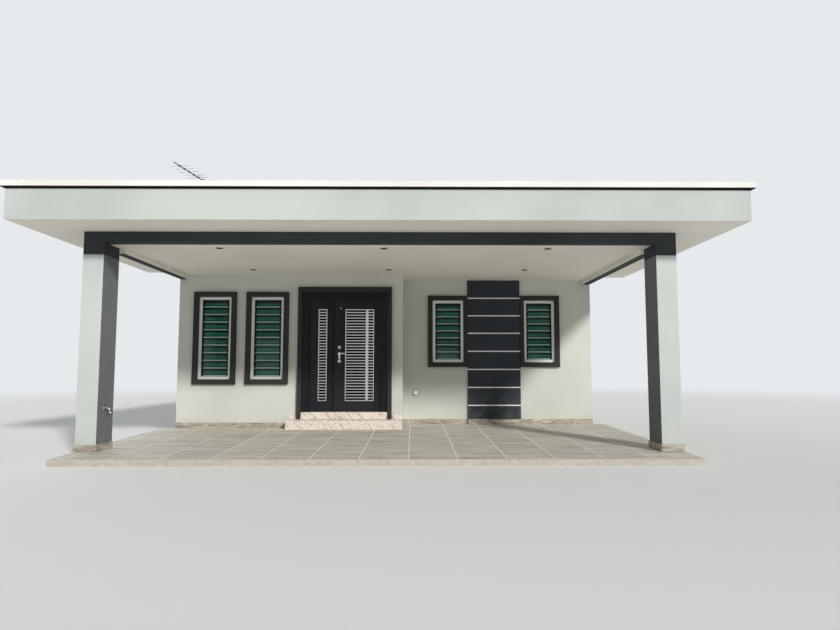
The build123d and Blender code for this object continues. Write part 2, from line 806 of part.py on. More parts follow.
# Television aerial: a mast on a foot that fits the slope, a level boom and its cross rods
aerial_x = aerial_from_eave - half_eaves
aerial_y = fascia_y + aerial_run
with BuildPart() as tv_aerial:
    foot_low = aerial_x - aerial_foot / 2
    foot_high = aerial_x + aerial_foot / 2
    slope_top_low = slope_start + covering_rise + (half_eaves + foot_low) * rise
    slope_top_high = slope_start + covering_rise + (half_eaves + foot_high) * rise
    foot_top = slope_top_high + aerial_foot_height
    with BuildSketch(Plane.XZ.offset(-(aerial_y - aerial_foot / 2))):
        with BuildLine():
            Polyline(
                (foot_low, slope_top_low),
                (foot_high, slope_top_high),
                (foot_high, foot_top),
                (foot_low, foot_top),
                close=True,
            )
        make_face()
    extrude(amount=-aerial_foot)
    post(aerial_x, aerial_y, (foot_top - mast_socket, aerial_level + 2 * mast_radius), mast_radius)
    boom_vector = Vector(aerial_boom_drift, -aerial_boom, 0)
    boom_start = Vector(aerial_x, aerial_y, aerial_level)
    with Locations(Plane(boom_start, x_dir=(0, 0, 1), z_dir=boom_vector)):
        Cylinder(boom_radius, boom_vector.length, align=(Align.CENTER, Align.CENTER, Align.MIN))
    rod_direction = boom_vector.rotate(Axis.Z, 90)
    for number, rod in enumerate(element_lengths):
        rod_middle = boom_start + boom_vector.normalized() * (first_element + number * element_pitch)
        with Locations(Plane(rod_middle, x_dir=(0, 0, 1), z_dir=rod_direction)):
            Cylinder(element_radius, rod)
finish(tv_aerial, "tv_aerial")
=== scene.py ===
import math
import random

import bmesh
import bpy
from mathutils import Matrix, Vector


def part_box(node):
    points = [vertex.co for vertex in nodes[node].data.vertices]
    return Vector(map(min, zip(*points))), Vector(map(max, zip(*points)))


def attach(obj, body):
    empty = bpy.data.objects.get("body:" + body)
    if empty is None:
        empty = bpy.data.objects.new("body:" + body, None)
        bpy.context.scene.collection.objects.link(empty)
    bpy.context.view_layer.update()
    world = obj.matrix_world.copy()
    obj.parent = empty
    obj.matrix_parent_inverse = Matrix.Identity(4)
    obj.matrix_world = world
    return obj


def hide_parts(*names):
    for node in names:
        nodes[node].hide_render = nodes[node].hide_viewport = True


# Bungalow with a car porch: finishes, glazing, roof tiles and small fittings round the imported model
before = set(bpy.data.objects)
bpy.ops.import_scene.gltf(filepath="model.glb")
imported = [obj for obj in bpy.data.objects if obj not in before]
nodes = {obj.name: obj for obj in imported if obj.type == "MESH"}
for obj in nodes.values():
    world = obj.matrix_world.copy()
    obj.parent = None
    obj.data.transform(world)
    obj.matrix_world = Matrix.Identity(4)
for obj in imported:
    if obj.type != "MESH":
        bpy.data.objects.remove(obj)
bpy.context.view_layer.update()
print("model loaded:", len(nodes), "nodes")


# Materials


def linearColour(hexValue):
    channels = [int(hexValue[i : i + 2], 16) / 255 for i in (1, 3, 5)]
    return [c / 12.92 if c <= 0.04045 else ((c + 0.055) / 1.055) ** 2.4 for c in channels] + [1]


# A setting is a property of the node, or an input by its name or number; an input takes a number, a hex
# colour, or an output of another node, which is linked to it
def addNode(tree, kind, settings):
    node = tree.nodes.new("ShaderNode" + kind)
    for key, value in settings.items():
        if key == "stops":
            ramp = node.color_ramp
            while len(ramp.elements) < len(value):
                ramp.elements.new(0.5)
            for element, (position, colour) in zip(ramp.elements, value):
                element.position = position
                element.color = linearColour(colour)
        elif not isinstance(key, int) and key not in node.inputs:
            setattr(node, key, value)
        elif isinstance(value, bpy.types.NodeSocket):
            tree.links.new(value, node.inputs[key])
        elif isinstance(value, str):
            node.inputs[key].default_value = linearColour(value)
        else:
            node.inputs[key].default_value = value
    return node


# An empty material, with the place of each point in metres
def newMaterial(name):
    material = bpy.data.materials.new(name)
    material.use_nodes = True
    tree = material.node_tree
    tree.nodes.clear()
    return material, tree, addNode(tree, "TexCoord", {}).outputs["Object"]


# Shader and output; what is the same all over is set on the shader itself
def closeMaterial(material, settings):
    shader = addNode(material.node_tree, "BsdfPrincipled", settings)
    addNode(material.node_tree, "OutputMaterial", {"Surface": shader.outputs[0]})
    return material


# The way that each point faces, as X, Y and Z
def facingWays(tree):
    normal = addNode(tree, "TexCoord", {}).outputs["Normal"]
    return addNode(tree, "SeparateXYZ", {"Vector": normal}).outputs


def perMetre(sizesMm):
    return tuple(1000 / size for size in sizesMm)


# Soft patches: their size in millimetres, the noise that gives 0, the noise that gives 1, and the detail
def patchFactor(tree, place, sizeMm, low, high, detail=3):
    noise = addNode(tree, "TexNoise", {"Vector": place, "Scale": 1000 / sizeMm, "Detail": detail})
    limits = {"Value": noise.outputs[0], "From Min": low, "From Max": high}
    return addNode(tree, "MapRange", limits).outputs[0]


# A colour laid over another one where the mask is 1, or thinner by a share
def layOver(tree, under, over, mask, share=None):
    if share is not None:
        mask = addNode(tree, "Math", {"operation": "MULTIPLY", 0: mask, 1: share}).outputs[0]
    return addNode(tree, "Mix", {"data_type": "RGBA", 0: mask, 6: under, 7: over}).outputs[2]


# Two colours in such patches
def patchyColour(tree, place, colours, patches):
    return layOver(tree, *colours, patchFactor(tree, place, *patches))


# Unevenness over another bump: its size in millimetres, its detail, its strength and its height in metres
def grainBump(tree, place, sizeMm, detail, strength, distance, over=None):
    noise = addNode(tree, "TexNoise", {"Vector": place, "Scale": 1000 / sizeMm, "Detail": detail})
    settings = {"Strength": strength, "Distance": distance, "Height": noise.outputs[0]}
    if over:
        settings["Normal"] = over
    return addNode(tree, "Bump", settings).outputs[0]


# A surface in patches of two tones, with a grain; stretchMm draws both out along X, Y or Z
def patchedMaterial(name, look):
    material, tree, place = newMaterial(name)
    if "stretchMm" in look:
        settings = {"Vector": place, "Scale": perMetre(look["stretchMm"])}
        place = addNode(tree, "Mapping", settings).outputs[0]
    settings = {"Roughness": look["roughness"]} | look.get("shader", {})
    settings["Base Color"] = patchyColour(tree, place, look["tones"], look["patches"])
    if "grain" in look:
        settings["Normal"] = grainBump(tree, place, *look["grain"])
    return closeMaterial(material, settings)


# Masonry paint rolled on trowelled sand-cement plaster: quite matt, with a roller stipple, slow trowel
# waves that catch low light, patches of tone from weather, and splash marks near the ground, which fade
# out over the heights in foot
paints = {
    "offWhiteMasonryPaint": {"tones": ("#d6d8d1", "#cbcdc6"), "stain": "#b3b0a5", "foot": (0.1, 0.4)},
    "greyGreenMasonryPaint": {"tones": ("#ccd3ce", "#bdc5c1"), "stain": "#9fa5a0", "foot": (0.0, 0.45)},
    "anthraciteMasonryPaint": {"tones": ("#3d4246", "#34393c"), "stain": "#4a4c4b", "foot": (0.0, 0.4)},
    "columnReturnPaint": {"tones": ("#74797b", "#6a6f71"), "stain": "#666866", "foot": (0.0, 0.4)},
    # the coping's near-black underside is painted shade
    "copingUndersideShadePaint": {"tones": ("#1c1c1b", "#242423"), "stain": "#242423", "foot": (0.0, 0.1)},
    # the panel paint grows lighter towards its foot, up to 0.9 m
    "panelMasonryPaint": {"tones": ("#373d44", "#30353c"), "stain": "#6c7676", "foot": (0.1, 0.9)},
    "surroundMasonryPaint": {"tones": ("#363936", "#2f322f"), "stain": "#4a4c48", "foot": (0.2, 0.5)},
    "creamCopingPaint": {"tones": ("#f6f8f3", "#e8e7dd"), "stain": "#c9c4b4", "foot": (0.0, 0.1)},
    "beigeCeilingPaint": {"tones": ("#f4f0e7", "#ece7dc"), "stain": "#bdb5a5", "foot": (0.0, 0.1)},
}
plaster = {
    "stipple": (7, 2, 0.3, 0.0012),  # a real one is 2 mm, drawn coarser so that it shows
    "trowelWaves": (450, 2, 0.35, 0.02),
    "weather": (1300, 0.35, 0.7),
    "splashes": (110, 0.35, 0.65),
    "splashShare": 0.4,
    "specular": 0.3,
    "roughness": 0.85,
}


def paintColour(tree, place, name):
    paint = paints[name]
    toned = patchyColour(tree, place, paint["tones"], plaster["weather"])
    height = addNode(tree, "SeparateXYZ", {"Vector": place}).outputs["Z"]
    limits = {"Value": height, "From Min": paint["foot"][0], "From Max": paint["foot"][1]}
    fading = addNode(tree, "MapRange", limits | {"To Min": plaster["splashShare"], "To Max": 0.0}).outputs[0]
    return layOver(tree, toned, paint["stain"], fading, patchFactor(tree, place, *plaster["splashes"]))


def plasterBump(tree, place):
    return grainBump(tree, place, *plaster["stipple"], grainBump(tree, place, *plaster["trowelWaves"]))


# Plaster in one paint, or in several: each mask is 1 where its own paint covers the ones before it
def paintedPlaster(name, first, covers=(), roughness=plaster["roughness"]):
    material, tree, place = newMaterial(name)
    colour = paintColour(tree, place, first)
    for paint, maskOf in covers:
        mask = maskOf(tree, addNode(tree, "SeparateXYZ", {"Vector": place}).outputs, facingWays(tree))
        colour = layOver(tree, colour, paintColour(tree, place, paint), mask)
    settings = {"Roughness": roughness, "Specular IOR Level": plaster["specular"]}
    return closeMaterial(material, settings | {"Base Color": colour, "Normal": plasterBump(tree, place)})


roofShadowLevel = 2.683  # the column heads are dark from here up: a painted shadow of the roof's edge, in the beam's paint
beamEndLine = -6.700  # the front beam ends before here, the side beams start after it


# Faces that look towards the middle of the porch
def innerFace(tree, places, ways):
    towards = addNode(tree, "Math", {"operation": "MULTIPLY", 0: places["X"], 1: ways["X"]}).outputs[0]
    return addNode(tree, "Math", {"operation": "LESS_THAN", 0: towards, 1: -1.0}).outputs[0]


# Column heads: painted shadow of the roof's front edge on the column paint
def paintedShadowColumnHead(tree, places, ways):
    return addNode(tree, "Math", {"operation": "GREATER_THAN", 0: places["Z"], 1: roofShadowLevel}).outputs[0]


def underFace(tree, places, ways):
    return addNode(tree, "Math", {"operation": "LESS_THAN", 0: ways["Z"], 1: -0.5}).outputs[0]


# The beam faces that meet the porch ceiling carry its beige, so do the side beams' ends by the columns
def ceilingSide(tree, places, ways):
    rear = addNode(tree, "Math", {"operation": "GREATER_THAN", 0: ways["Y"], 1: 0.5}).outputs[0]
    front = addNode(tree, "Math", {"operation": "LESS_THAN", 0: ways["Y"], 1: -0.5}).outputs[0]
    behind = addNode(tree, "Math", {"operation": "GREATER_THAN", 0: places["Y"], 1: beamEndLine}).outputs[0]
    sideEnd = addNode(tree, "Math", {"operation": "MULTIPLY", 0: front, 1: behind}).outputs[0]
    ends = addNode(tree, "Math", {"operation": "MAXIMUM", 0: rear, 1: sideEnd}).outputs[0]
    settings = {"operation": "MAXIMUM", 0: innerFace(tree, places, ways), 1: ends}
    return addNode(tree, "Math", settings).outputs[0]


# Flat roof slabs: ceiling paint below, grey cement screed with puddle marks above
screed = {"puddles": (1100, 0.3, 0.75, 6), "tones": ("#aaa9a4", "#8d8d89"), "roughness": 0.88}


def roofSlabMaterial():
    material, tree, place = newMaterial("paintedSoffitScreedRoof")
    top = patchyColour(tree, place, screed["tones"], screed["puddles"])
    above = addNode(tree, "Math", {"operation": "GREATER_THAN", 0: facingWays(tree)["Z"], 1: 0.5}).outputs[0]
    colour = layOver(tree, paintColour(tree, place, "beigeCeilingPaint"), top, above)
    settings = {"Roughness": screed["roughness"], "Specular IOR Level": plaster["specular"]}
    return closeMaterial(material, settings | {"Base Color": colour, "Normal": plasterBump(tree, place)})


# Porcelain floor tiles, pressed and printed with a streaked stone: satin, with a slight sheen at low
# angles, each tile a little different, pale grout between them; the slab's edge is raw cement
floorTile = {
    "sizeMm": 600,
    "groutMm": 14,  # real joints are 3 mm, drawn wider so that they show
    "phase": (0.355, -0.0565),  # where a corner of the pattern lies
    "streakMm": (625, 38.5, 1000),
    "pale": "#d8d4ca",
    "streak": "#8f8d84",
    "grout": "#f8f5ed",
    "groutRoughness": 0.8,
    "tones": (0.94, 1.04),  # darkest and palest tile
    "cement": ("#b3aca0", "#c6c0b4"),
    "cementPatches": (70, 0.3, 0.7),
    "roughness": 0.68,
    "specular": 0.2,
}
insideTile = floorTile | {"streak": "#cfc8ba", "pale": "#ddd7cb", "roughness": 0.3}


def floorTileMaterial(name, tile):
    material, tree, place = newMaterial(name)
    shift = (-tile["phase"][0], -tile["phase"][1], 0)
    settings = {
        "offset": 0.0,
        "squash": 1.0,
        "Vector": addNode(tree, "Mapping", {"Vector": place, "Location": shift}).outputs[0],
        "Scale": 1.0,
        "Mortar Size": tile["groutMm"] / 2000,
        "Mortar Smooth": 0.1,
        "Bias": 0.0,
        "Brick Width": tile["sizeMm"] / 1000,
        "Row Height": tile["sizeMm"] / 1000,
        "Color1": "#000000",
        "Color2": "#ffffff",
        "Mortar": (0.5, 0.5, 0.5, 1),
    }
    grid = addNode(tree, "TexBrick", settings).outputs
    # a number for each tile, so that the print starts elsewhere on each
    number = addNode(tree, "Math", {"operation": "MULTIPLY", 0: grid["Color"], 1: 40.0}).outputs[0]
    stretched = addNode(tree, "Mapping", {"Vector": place, "Scale": perMetre(tile["streakMm"])}).outputs[0]
    settings = {"noise_dimensions": "4D", "Vector": stretched, "W": number, "Scale": 1.0}
    settings |= {"Detail": 6, "Roughness": 0.62, "Distortion": 0.6}
    streaks = addNode(tree, "TexNoise", settings).outputs[0]
    shown = addNode(tree, "MapRange", {"Value": streaks, "From Min": 0.44, "From Max": 0.7}).outputs[0]
    stone = layOver(tree, tile["pale"], tile["streak"], shown)
    limits = {"Value": grid["Color"], "To Min": tile["tones"][0], "To Max": tile["tones"][1]}
    perTile = addNode(tree, "MapRange", limits).outputs[0]
    toned = addNode(tree, "VectorMath", {"operation": "SCALE", 0: stone, 3: perTile}).outputs[0]
    laid = layOver(tree, toned, tile["grout"], grid["Fac"])
    cement = patchyColour(tree, place, tile["cement"], tile["cementPatches"])
    edge = addNode(tree, "Math", {"operation": "LESS_THAN", 0: facingWays(tree)["Z"], 1: 0.5}).outputs[0]
    colour = layOver(tree, laid, cement, edge)
    limits = {"Value": grid["Fac"], "To Min": tile["roughness"], "To Max": tile["groutRoughness"]}
    rough = addNode(tree, "MapRange", limits).outputs[0]
    sunk = addNode(tree, "Math", {"operation": "SUBTRACT", 0: 1.0, 1: grid["Fac"]}).outputs[0]
    bump = addNode(tree, "Bump", {"Strength": 0.6, "Distance": 0.0015, "Height": sunk}).outputs[0]
    settings = {"Specular IOR Level": tile["specular"], "Base Color": colour}
    return closeMaterial(material, settings | {"Roughness": rough, "Normal": bump})


# Glazed ceramic skirting with a brown stone print: satin, mottled, a joint every tile
skirtingTile = {
    "sizeMm": 600,
    "jointMm": 3.6,
    "joint": "#d8d0c2",
    "veinMm": (200, 200, 45),
    "print": [(0.3, "#6c6359"), (0.5, "#a89f91"), (0.68, "#d4cdc1")],
    "roughness": 0.38,
}


def skirtingMaterial():
    material, tree, place = newMaterial("glazedSkirtingTile")
    stretch = perMetre(skirtingTile["veinMm"])
    veined = addNode(tree, "Mapping", {"Vector": place, "Scale": stretch}).outputs[0]
    settings = {"Vector": veined, "Scale": 1.0, "Detail": 6, "Roughness": 0.65, "Distortion": 1.2}
    veins = addNode(tree, "TexNoise", settings).outputs[0]
    stone = addNode(tree, "ValToRGB", {"stops": skirtingTile["print"], "Fac": veins}).outputs[0]
    places = addNode(tree, "SeparateXYZ", {"Vector": place}).outputs
    along = addNode(tree, "Math", {"operation": "ADD", 0: places["X"], 1: places["Y"]}).outputs[0]
    settings = {"operation": "MULTIPLY", 0: along, 1: 1000 / skirtingTile["sizeMm"]}
    inTiles = addNode(tree, "Math", settings).outputs[0]
    inTile = addNode(tree, "Math", {"operation": "FRACT", 0: inTiles}).outputs[0]
    share = skirtingTile["jointMm"] / skirtingTile["sizeMm"]
    joint = addNode(tree, "Math", {"operation": "LESS_THAN", 0: inTile, 1: share}).outputs[0]
    colour = layOver(tree, stone, skirtingTile["joint"], joint)
    return closeMaterial(material, {"Roughness": skirtingTile["roughness"], "Base Color": colour})


# Flamed pink granite: pale crystals of pink, cream and grey, slanting grey flecks, half matt
graniteStone = {
    "grainMm": 9,  # real crystals are 3 to 6 mm, drawn coarser so that they show
    "crystals": [(0.0, "#b7ada6"), (0.14, "#ddcec5"), (0.5, "#ede5dd"), (0.82, "#f4efe9")],
    "clouds": (285, 0.3, 0.7),
    "cloud": "#decfc5",
    "cloudShare": 0.25,
    "fleckMm": (140, 140, 22),  # one fleck, which is 1000 in the size below
    "flecks": (1000, 0.58, 0.68, 2),
    "fleckTilt": 0.8,
    "fleck": "#a1948b",
    "fleckShare": 0.75,
    "roughness": 0.5,
}


def graniteMaterial():
    material, tree, place = newMaterial("flamedPinkGranite")
    stone = graniteStone
    settings = {"Vector": place, "Scale": 1000 / stone["grainMm"], "Randomness": 1.0}
    crystals = addNode(tree, "TexVoronoi", settings).outputs["Color"]
    single = addNode(tree, "SeparateColor", {"Color": crystals}).outputs[0]
    ramp = addNode(tree, "ValToRGB", {"stops": stone["crystals"], "Fac": single})
    ramp.color_ramp.interpolation = "CONSTANT"
    clouds = patchFactor(tree, place, *stone["clouds"])
    toned = layOver(tree, ramp.outputs[0], stone["cloud"], clouds, stone["cloudShare"])
    stretch = tuple(size / 1000 for size in stone["fleckMm"])
    settings = {"vector_type": "TEXTURE", "Vector": place, "Scale": stretch}
    slanted = addNode(tree, "Mapping", settings | {"Rotation": (0, stone["fleckTilt"], 0)}).outputs[0]
    flecks = patchFactor(tree, slanted, *stone["flecks"])
    toned = layOver(tree, toned, stone["fleck"], flecks, stone["fleckShare"])
    bump = addNode(tree, "Bump", {"Strength": 0.3, "Distance": 0.0008, "Height": single}).outputs[0]
    return closeMaterial(material, {"Roughness": stone["roughness"], "Base Color": toned, "Normal": bump})


# Satin powder coat on pressed steel: faint orange peel, dust on it dulls the shine in patches
powderCoat = {
    "dustPatches": (450, 0.4, 0.75),
    "dust": "#8a8780",
    "dustShare": 0.05,
    "dulling": 0.16,
    "orangePeel": (2, 1, 0.15, 0.0004),
    "specular": 0.5,
}
doorCoat = {"dustShare": 0.03, "specular": 0.2, "orangePeel": (3, 1, 0.15, 0.0004)}
coats = {
    "satinBlackPowderCoat": doorCoat | {"colour": "#181b21", "roughness": 0.36},
    "whitePowderCoatAluminium": {"colour": "#fafbfa", "roughness": 0.32},
    "blackAnodisedChannel": {"colour": "#0b0d0d", "roughness": 0.5, "dustShare": 0.0, "specular": 0.2},
    "whiteJointStrip": {"colour": "#f8f9f8", "roughness": 0.5},
    "blackBackingSheet": {"colour": "#060708", "roughness": 0.7, "dustShare": 0.0, "specular": 0.1},
    # near-black strip under the coping: painted shadow
    "copingShadowStrip": {"colour": "#161615", "roughness": 0.8, "dustShare": 0.02, "specular": 0.2},
}


def powderCoatMaterial(name):
    material, tree, place = newMaterial(name)
    look = powderCoat | coats[name]
    dust = patchFactor(tree, place, *look["dustPatches"])
    limits = {"Value": dust, "To Min": look["roughness"], "To Max": look["roughness"] + look["dulling"]}
    settings = {
        "Specular IOR Level": look["specular"],
        "Base Color": layOver(tree, look["colour"], look["dust"], dust, look["dustShare"]),
        "Roughness": addNode(tree, "MapRange", limits).outputs[0],
        "Normal": grainBump(tree, place, *look["orangePeel"]),
    }
    return closeMaterial(material, settings)


# Brushed stainless steel: fine horizontal brush lines streak the highlight; the door's bars are dulled by
# dust, the handle is rubbed bright
brushing = {"strokeMm": (83, 83, 2.5), "roughness": (0.2, 0.42), "anisotropy": 0.5}


def brushedSteelMaterial(name, tones):
    material, tree, place = newMaterial(name)
    stretch = perMetre(brushing["strokeMm"])
    stretched = addNode(tree, "Mapping", {"Vector": place, "Scale": stretch}).outputs[0]
    lines = addNode(tree, "TexNoise", {"Vector": stretched, "Scale": 1.0, "Detail": 3}).outputs[0]
    limits = {"Value": lines, "To Min": brushing["roughness"][0], "To Max": brushing["roughness"][1]}
    rough = addNode(tree, "MapRange", limits).outputs[0]
    bump = addNode(tree, "Bump", {"Strength": 0.12, "Distance": 0.0003, "Height": lines}).outputs[0]
    shine = layOver(tree, *tones, lines)
    settings = {"Metallic": 1.0, "Anisotropic": brushing["anisotropy"], "Base Color": shine}
    return closeMaterial(material, settings | {"Roughness": rough, "Normal": bump})


# Chromed brass: mirror bright and bluish, with water spots
chromePlate = {"spots": (6, 0.55, 0.7), "tones": ("#dcdedf", "#b9bbba"), "roughness": (0.08, 0.3)}


def chromeMaterial():
    material, tree, place = newMaterial("chromedBrass")
    spots = patchFactor(tree, place, *chromePlate["spots"])
    clean, spotted = chromePlate["roughness"]
    rough = addNode(tree, "MapRange", {"Value": spots, "To Min": clean, "To Max": spotted}).outputs[0]
    shine = layOver(tree, *chromePlate["tones"], spots)
    return closeMaterial(material, {"Metallic": 1.0, "Roughness": rough, "Base Color": shine})


# Green float glass, rolled and cut into blades: dark green with the rooms unlit behind it, glossy, with
# a faint waviness; where two blades overlap the glass is twice as thick and looks almost black, and the
# same near-black is painted shade under each blade above; the ground edges are pale mint, widened by a
# painted highlight of the light that runs along inside the blade
glassSheet = {
    "patches": (330, 0.35, 0.7),
    "grain": (110, 1, 0.1, 0.002),
    "roughness": 0.08,
    "shader": {"Specular IOR Level": 0.3, "IOR": 1.52, "Transmission Weight": 0.15},
}
clearGlass = glassSheet | {"tones": ("#1b6251", "#2f7d6a")}
# near-black: doubled glass, and painted shade under each blade above
overlappedAndShadedGlass = glassSheet | {"tones": ("#06211b", "#0b2b25")}
# the ground edge's pale mint with a painted highlight over it
glassRimAndHighlight = {
    "patches": (70, 0.3, 0.7),
    "tones": ("#87afa2", "#a3c2b7"),
    "roughness": 0.3,
    "shader": {"IOR": 1.52},
}

# Extruded concrete roof tiles, through-coloured and coated: matt dark grey, each tile its own tone, with
# pale lime bloom and lichen specks
concreteTile = {
    "tones": ("#4c4b4d", "#6a676a"),
    "bloomPatches": (420, 0.5, 0.8, 6),
    "bloom": "#8d8a86",
    "bloomShare": 0.35,
    "lichenSpecks": (22, 0.66, 0.72),
    "lichen": "#9d9c8c",
    "lichenShare": 0.5,
    "grit": (4, 2, 0.4, 0.001),
    "roughness": 0.9,
    "specular": 0.25,
}


def roofTileMaterial():
    material, tree, place = newMaterial("coatedConcreteRoofTile")
    look = concreteTile
    tone = addNode(tree, "Attribute", {"attribute_name": "tileTone"}).outputs["Fac"]
    toned = layOver(tree, *look["tones"], tone)
    bloom = patchFactor(tree, place, *look["bloomPatches"])
    toned = layOver(tree, toned, look["bloom"], bloom, look["bloomShare"])
    specks = patchFactor(tree, place, *look["lichenSpecks"])
    toned = layOver(tree, toned, look["lichen"], specks, look["lichenShare"])
    settings = {"Roughness": look["roughness"], "Specular IOR Level": look["specular"], "Base Color": toned}
    return closeMaterial(material, settings | {"Normal": grainBump(tree, place, *look["grit"])})


# Sand-cement bedding mortar under the ridge and hip tiles: grey and rough
beddingMortar = {
    "patches": (33, 0.3, 0.7),
    "tones": ("#5f5d59", "#76746f"),
    "grain": (8, 3, 0.6, 0.003),
    "roughness": 0.95,
}

# Gloss-painted timber boards: off-white, faint grain lines along the board
paintedBoard = {
    "stretchMm": (333, 333, 12),  # one grain line, which is 1000 in the sizes below
    "patches": (1670, 0.35, 0.7),
    "tones": ("#dcdcd6", "#c9c9c2"),
    "grain": (1000, 4, 0.25, 0.0008),
    "roughness": 0.45,
}

# Weathered mill-finish aluminium tube: dull dark grey boom and mast with chalky oxide in patches; the thin
# cross rods, off the boom's centre line, keep a brighter skin. The boom runs by that much along X and Y;
# first is the place of the first rod on it
aerial = {"x": -3.988, "y": -2.2455, "level": 5.100, "boom": (-0.167, -1.206), "first": 0.030, "pitch": 0.190}
aerialTube = {
    "oxidePatches": (45, 0.35, 0.7),
    "tones": ("#4b4d50", "#37393b"),
    "rods": "#c3c7ca",
    "boomHalf": 0.030,  # the boom and its clamps lie within this of the centre line
    "rodDepth": 0.1,  # no rod lies deeper below the boom
    "metallic": 0.85,
    "roughness": (0.52, 0.75),
}


def weatheredAluminiumMaterial():
    material, tree, place = newMaterial("weatheredAluminium")
    boomStart = (aerial["x"], aerial["y"], 0)
    fromStart = addNode(tree, "VectorMath", {"operation": "SUBTRACT", 0: place, 1: boomStart}).outputs[0]
    sideways = tuple(Vector((-aerial["boom"][1], aerial["boom"][0], 0)).normalized())
    settings = {"operation": "DOT_PRODUCT", 0: fromStart, 1: sideways}
    offLine = addNode(tree, "VectorMath", settings).outputs["Value"]
    distance = addNode(tree, "Math", {"operation": "ABSOLUTE", 0: offLine}).outputs[0]
    settings = {"operation": "GREATER_THAN", 0: distance, 1: aerialTube["boomHalf"]}
    offBoom = addNode(tree, "Math", settings).outputs[0]
    height = addNode(tree, "SeparateXYZ", {"Vector": place}).outputs["Z"]
    settings = {"operation": "GREATER_THAN", 0: height, 1: aerial["level"] - aerialTube["rodDepth"]}
    atBoom = addNode(tree, "Math", settings).outputs[0]
    oxide = patchFactor(tree, place, *aerialTube["oxidePatches"])
    dull = layOver(tree, *aerialTube["tones"], oxide)
    toned = layOver(tree, dull, aerialTube["rods"], offBoom, atBoom)
    limits = {"Value": oxide, "To Min": aerialTube["roughness"][0], "To Max": aerialTube["roughness"][1]}
    rough = addNode(tree, "MapRange", limits).outputs[0]
    settings = {"Metallic": aerialTube["metallic"], "Base Color": toned, "Roughness": rough}
    return closeMaterial(material, settings)


# Moulded plastic: even colour with a fine spark-eroded grain
mouldedPlastic = {"patches": (33, 0.35, 0.7), "grain": (1, 1, 0.15, 0.0002)}
plastics = {
    "whiteMouldedPlastic": {"tones": ("#fbfbf8", "#efeee8"), "roughness": 0.4},
    "blackMouldedPlastic": {"tones": ("#1d1e1f", "#2a2b2b"), "roughness": 0.5},
    "frostedLampPlastic": {"tones": ("#cfcdc4", "#c2c0b6"), "roughness": 0.5},
    "bronzeDownlightRim": {"tones": ("#4d4740", "#3f3a35"), "roughness": 0.45},
    "darkDownlightReflector": {"tones": ("#3a3936", "#2c2b29"), "roughness": 0.35},
}

singlePaints = ("offWhiteMasonryPaint", "panelMasonryPaint", "surroundMasonryPaint")
wallPaint, panelPaint, surroundPaint = [paintedPlaster(name, name) for name in singlePaints]
ceilingPaint = paintedPlaster("beigeCeilingPaint", "beigeCeilingPaint", roughness=0.9)
# the coping's underside is painted near-black: painted shade
copingPaint = paintedPlaster("copingPaint", "creamCopingPaint", [("copingUndersideShadePaint", underFace)])
# the column heads carry a painted shadow of the roof's edge
columnCovers = [("columnReturnPaint", innerFace), ("anthraciteMasonryPaint", paintedShadowColumnHead)]
columnPaint = paintedPlaster("columnMasonryPaint", "greyGreenMasonryPaint", columnCovers)
beamCovers = [("beigeCeilingPaint", ceilingSide)]
beamPaint = paintedPlaster("beamMasonryPaint", "anthraciteMasonryPaint", beamCovers)
parapetCovers = [("beigeCeilingPaint", underFace)]
parapetPaint = paintedPlaster("parapetMasonryPaint", "greyGreenMasonryPaint", parapetCovers)
slabFinish = roofSlabMaterial()
porchTile = floorTileMaterial("streakedPorcelainTile", floorTile)
roomTile = floorTileMaterial("satinPorcelainTile", insideTile)
skirtingGlaze = skirtingMaterial()
granite = graniteMaterial()
doorSteel = powderCoatMaterial("satinBlackPowderCoat")
whiteAluminium = powderCoatMaterial("whitePowderCoatAluminium")
darkAluminium = powderCoatMaterial("blackAnodisedChannel")
inlayPaint = powderCoatMaterial("whiteJointStrip")
blackSheet = powderCoatMaterial("blackBackingSheet")
copingShadowFinish = powderCoatMaterial("copingShadowStrip")
stainless = brushedSteelMaterial("brushedStainlessSteel", ("#d2d3d2", "#ececea"))
dustySteel = brushedSteelMaterial("dustyBrushedSteel", ("#b9bab9", "#d2d2d0"))
chrome = chromeMaterial()
louvreGlass = patchedMaterial("greenLouvreGlass", clearGlass)
doubledAndShadedGlass = patchedMaterial("overlappedAndShadedLouvreGlass", overlappedAndShadedGlass)
glassEdgeAndHighlight = patchedMaterial("groundGlassEdgeAndHighlight", glassRimAndHighlight)
roofTile = roofTileMaterial()
mortar = patchedMaterial("beddingMortar", beddingMortar)
timber = patchedMaterial("paintedTimberBoard", paintedBoard)
aerialMetal = weatheredAluminiumMaterial()
plasticMaterials = [patchedMaterial(name, mouldedPlastic | look) for name, look in plastics.items()]
whitePlastic, blackPlastic, lampPlastic, bronzePlastic, darkReflector = plasticMaterials

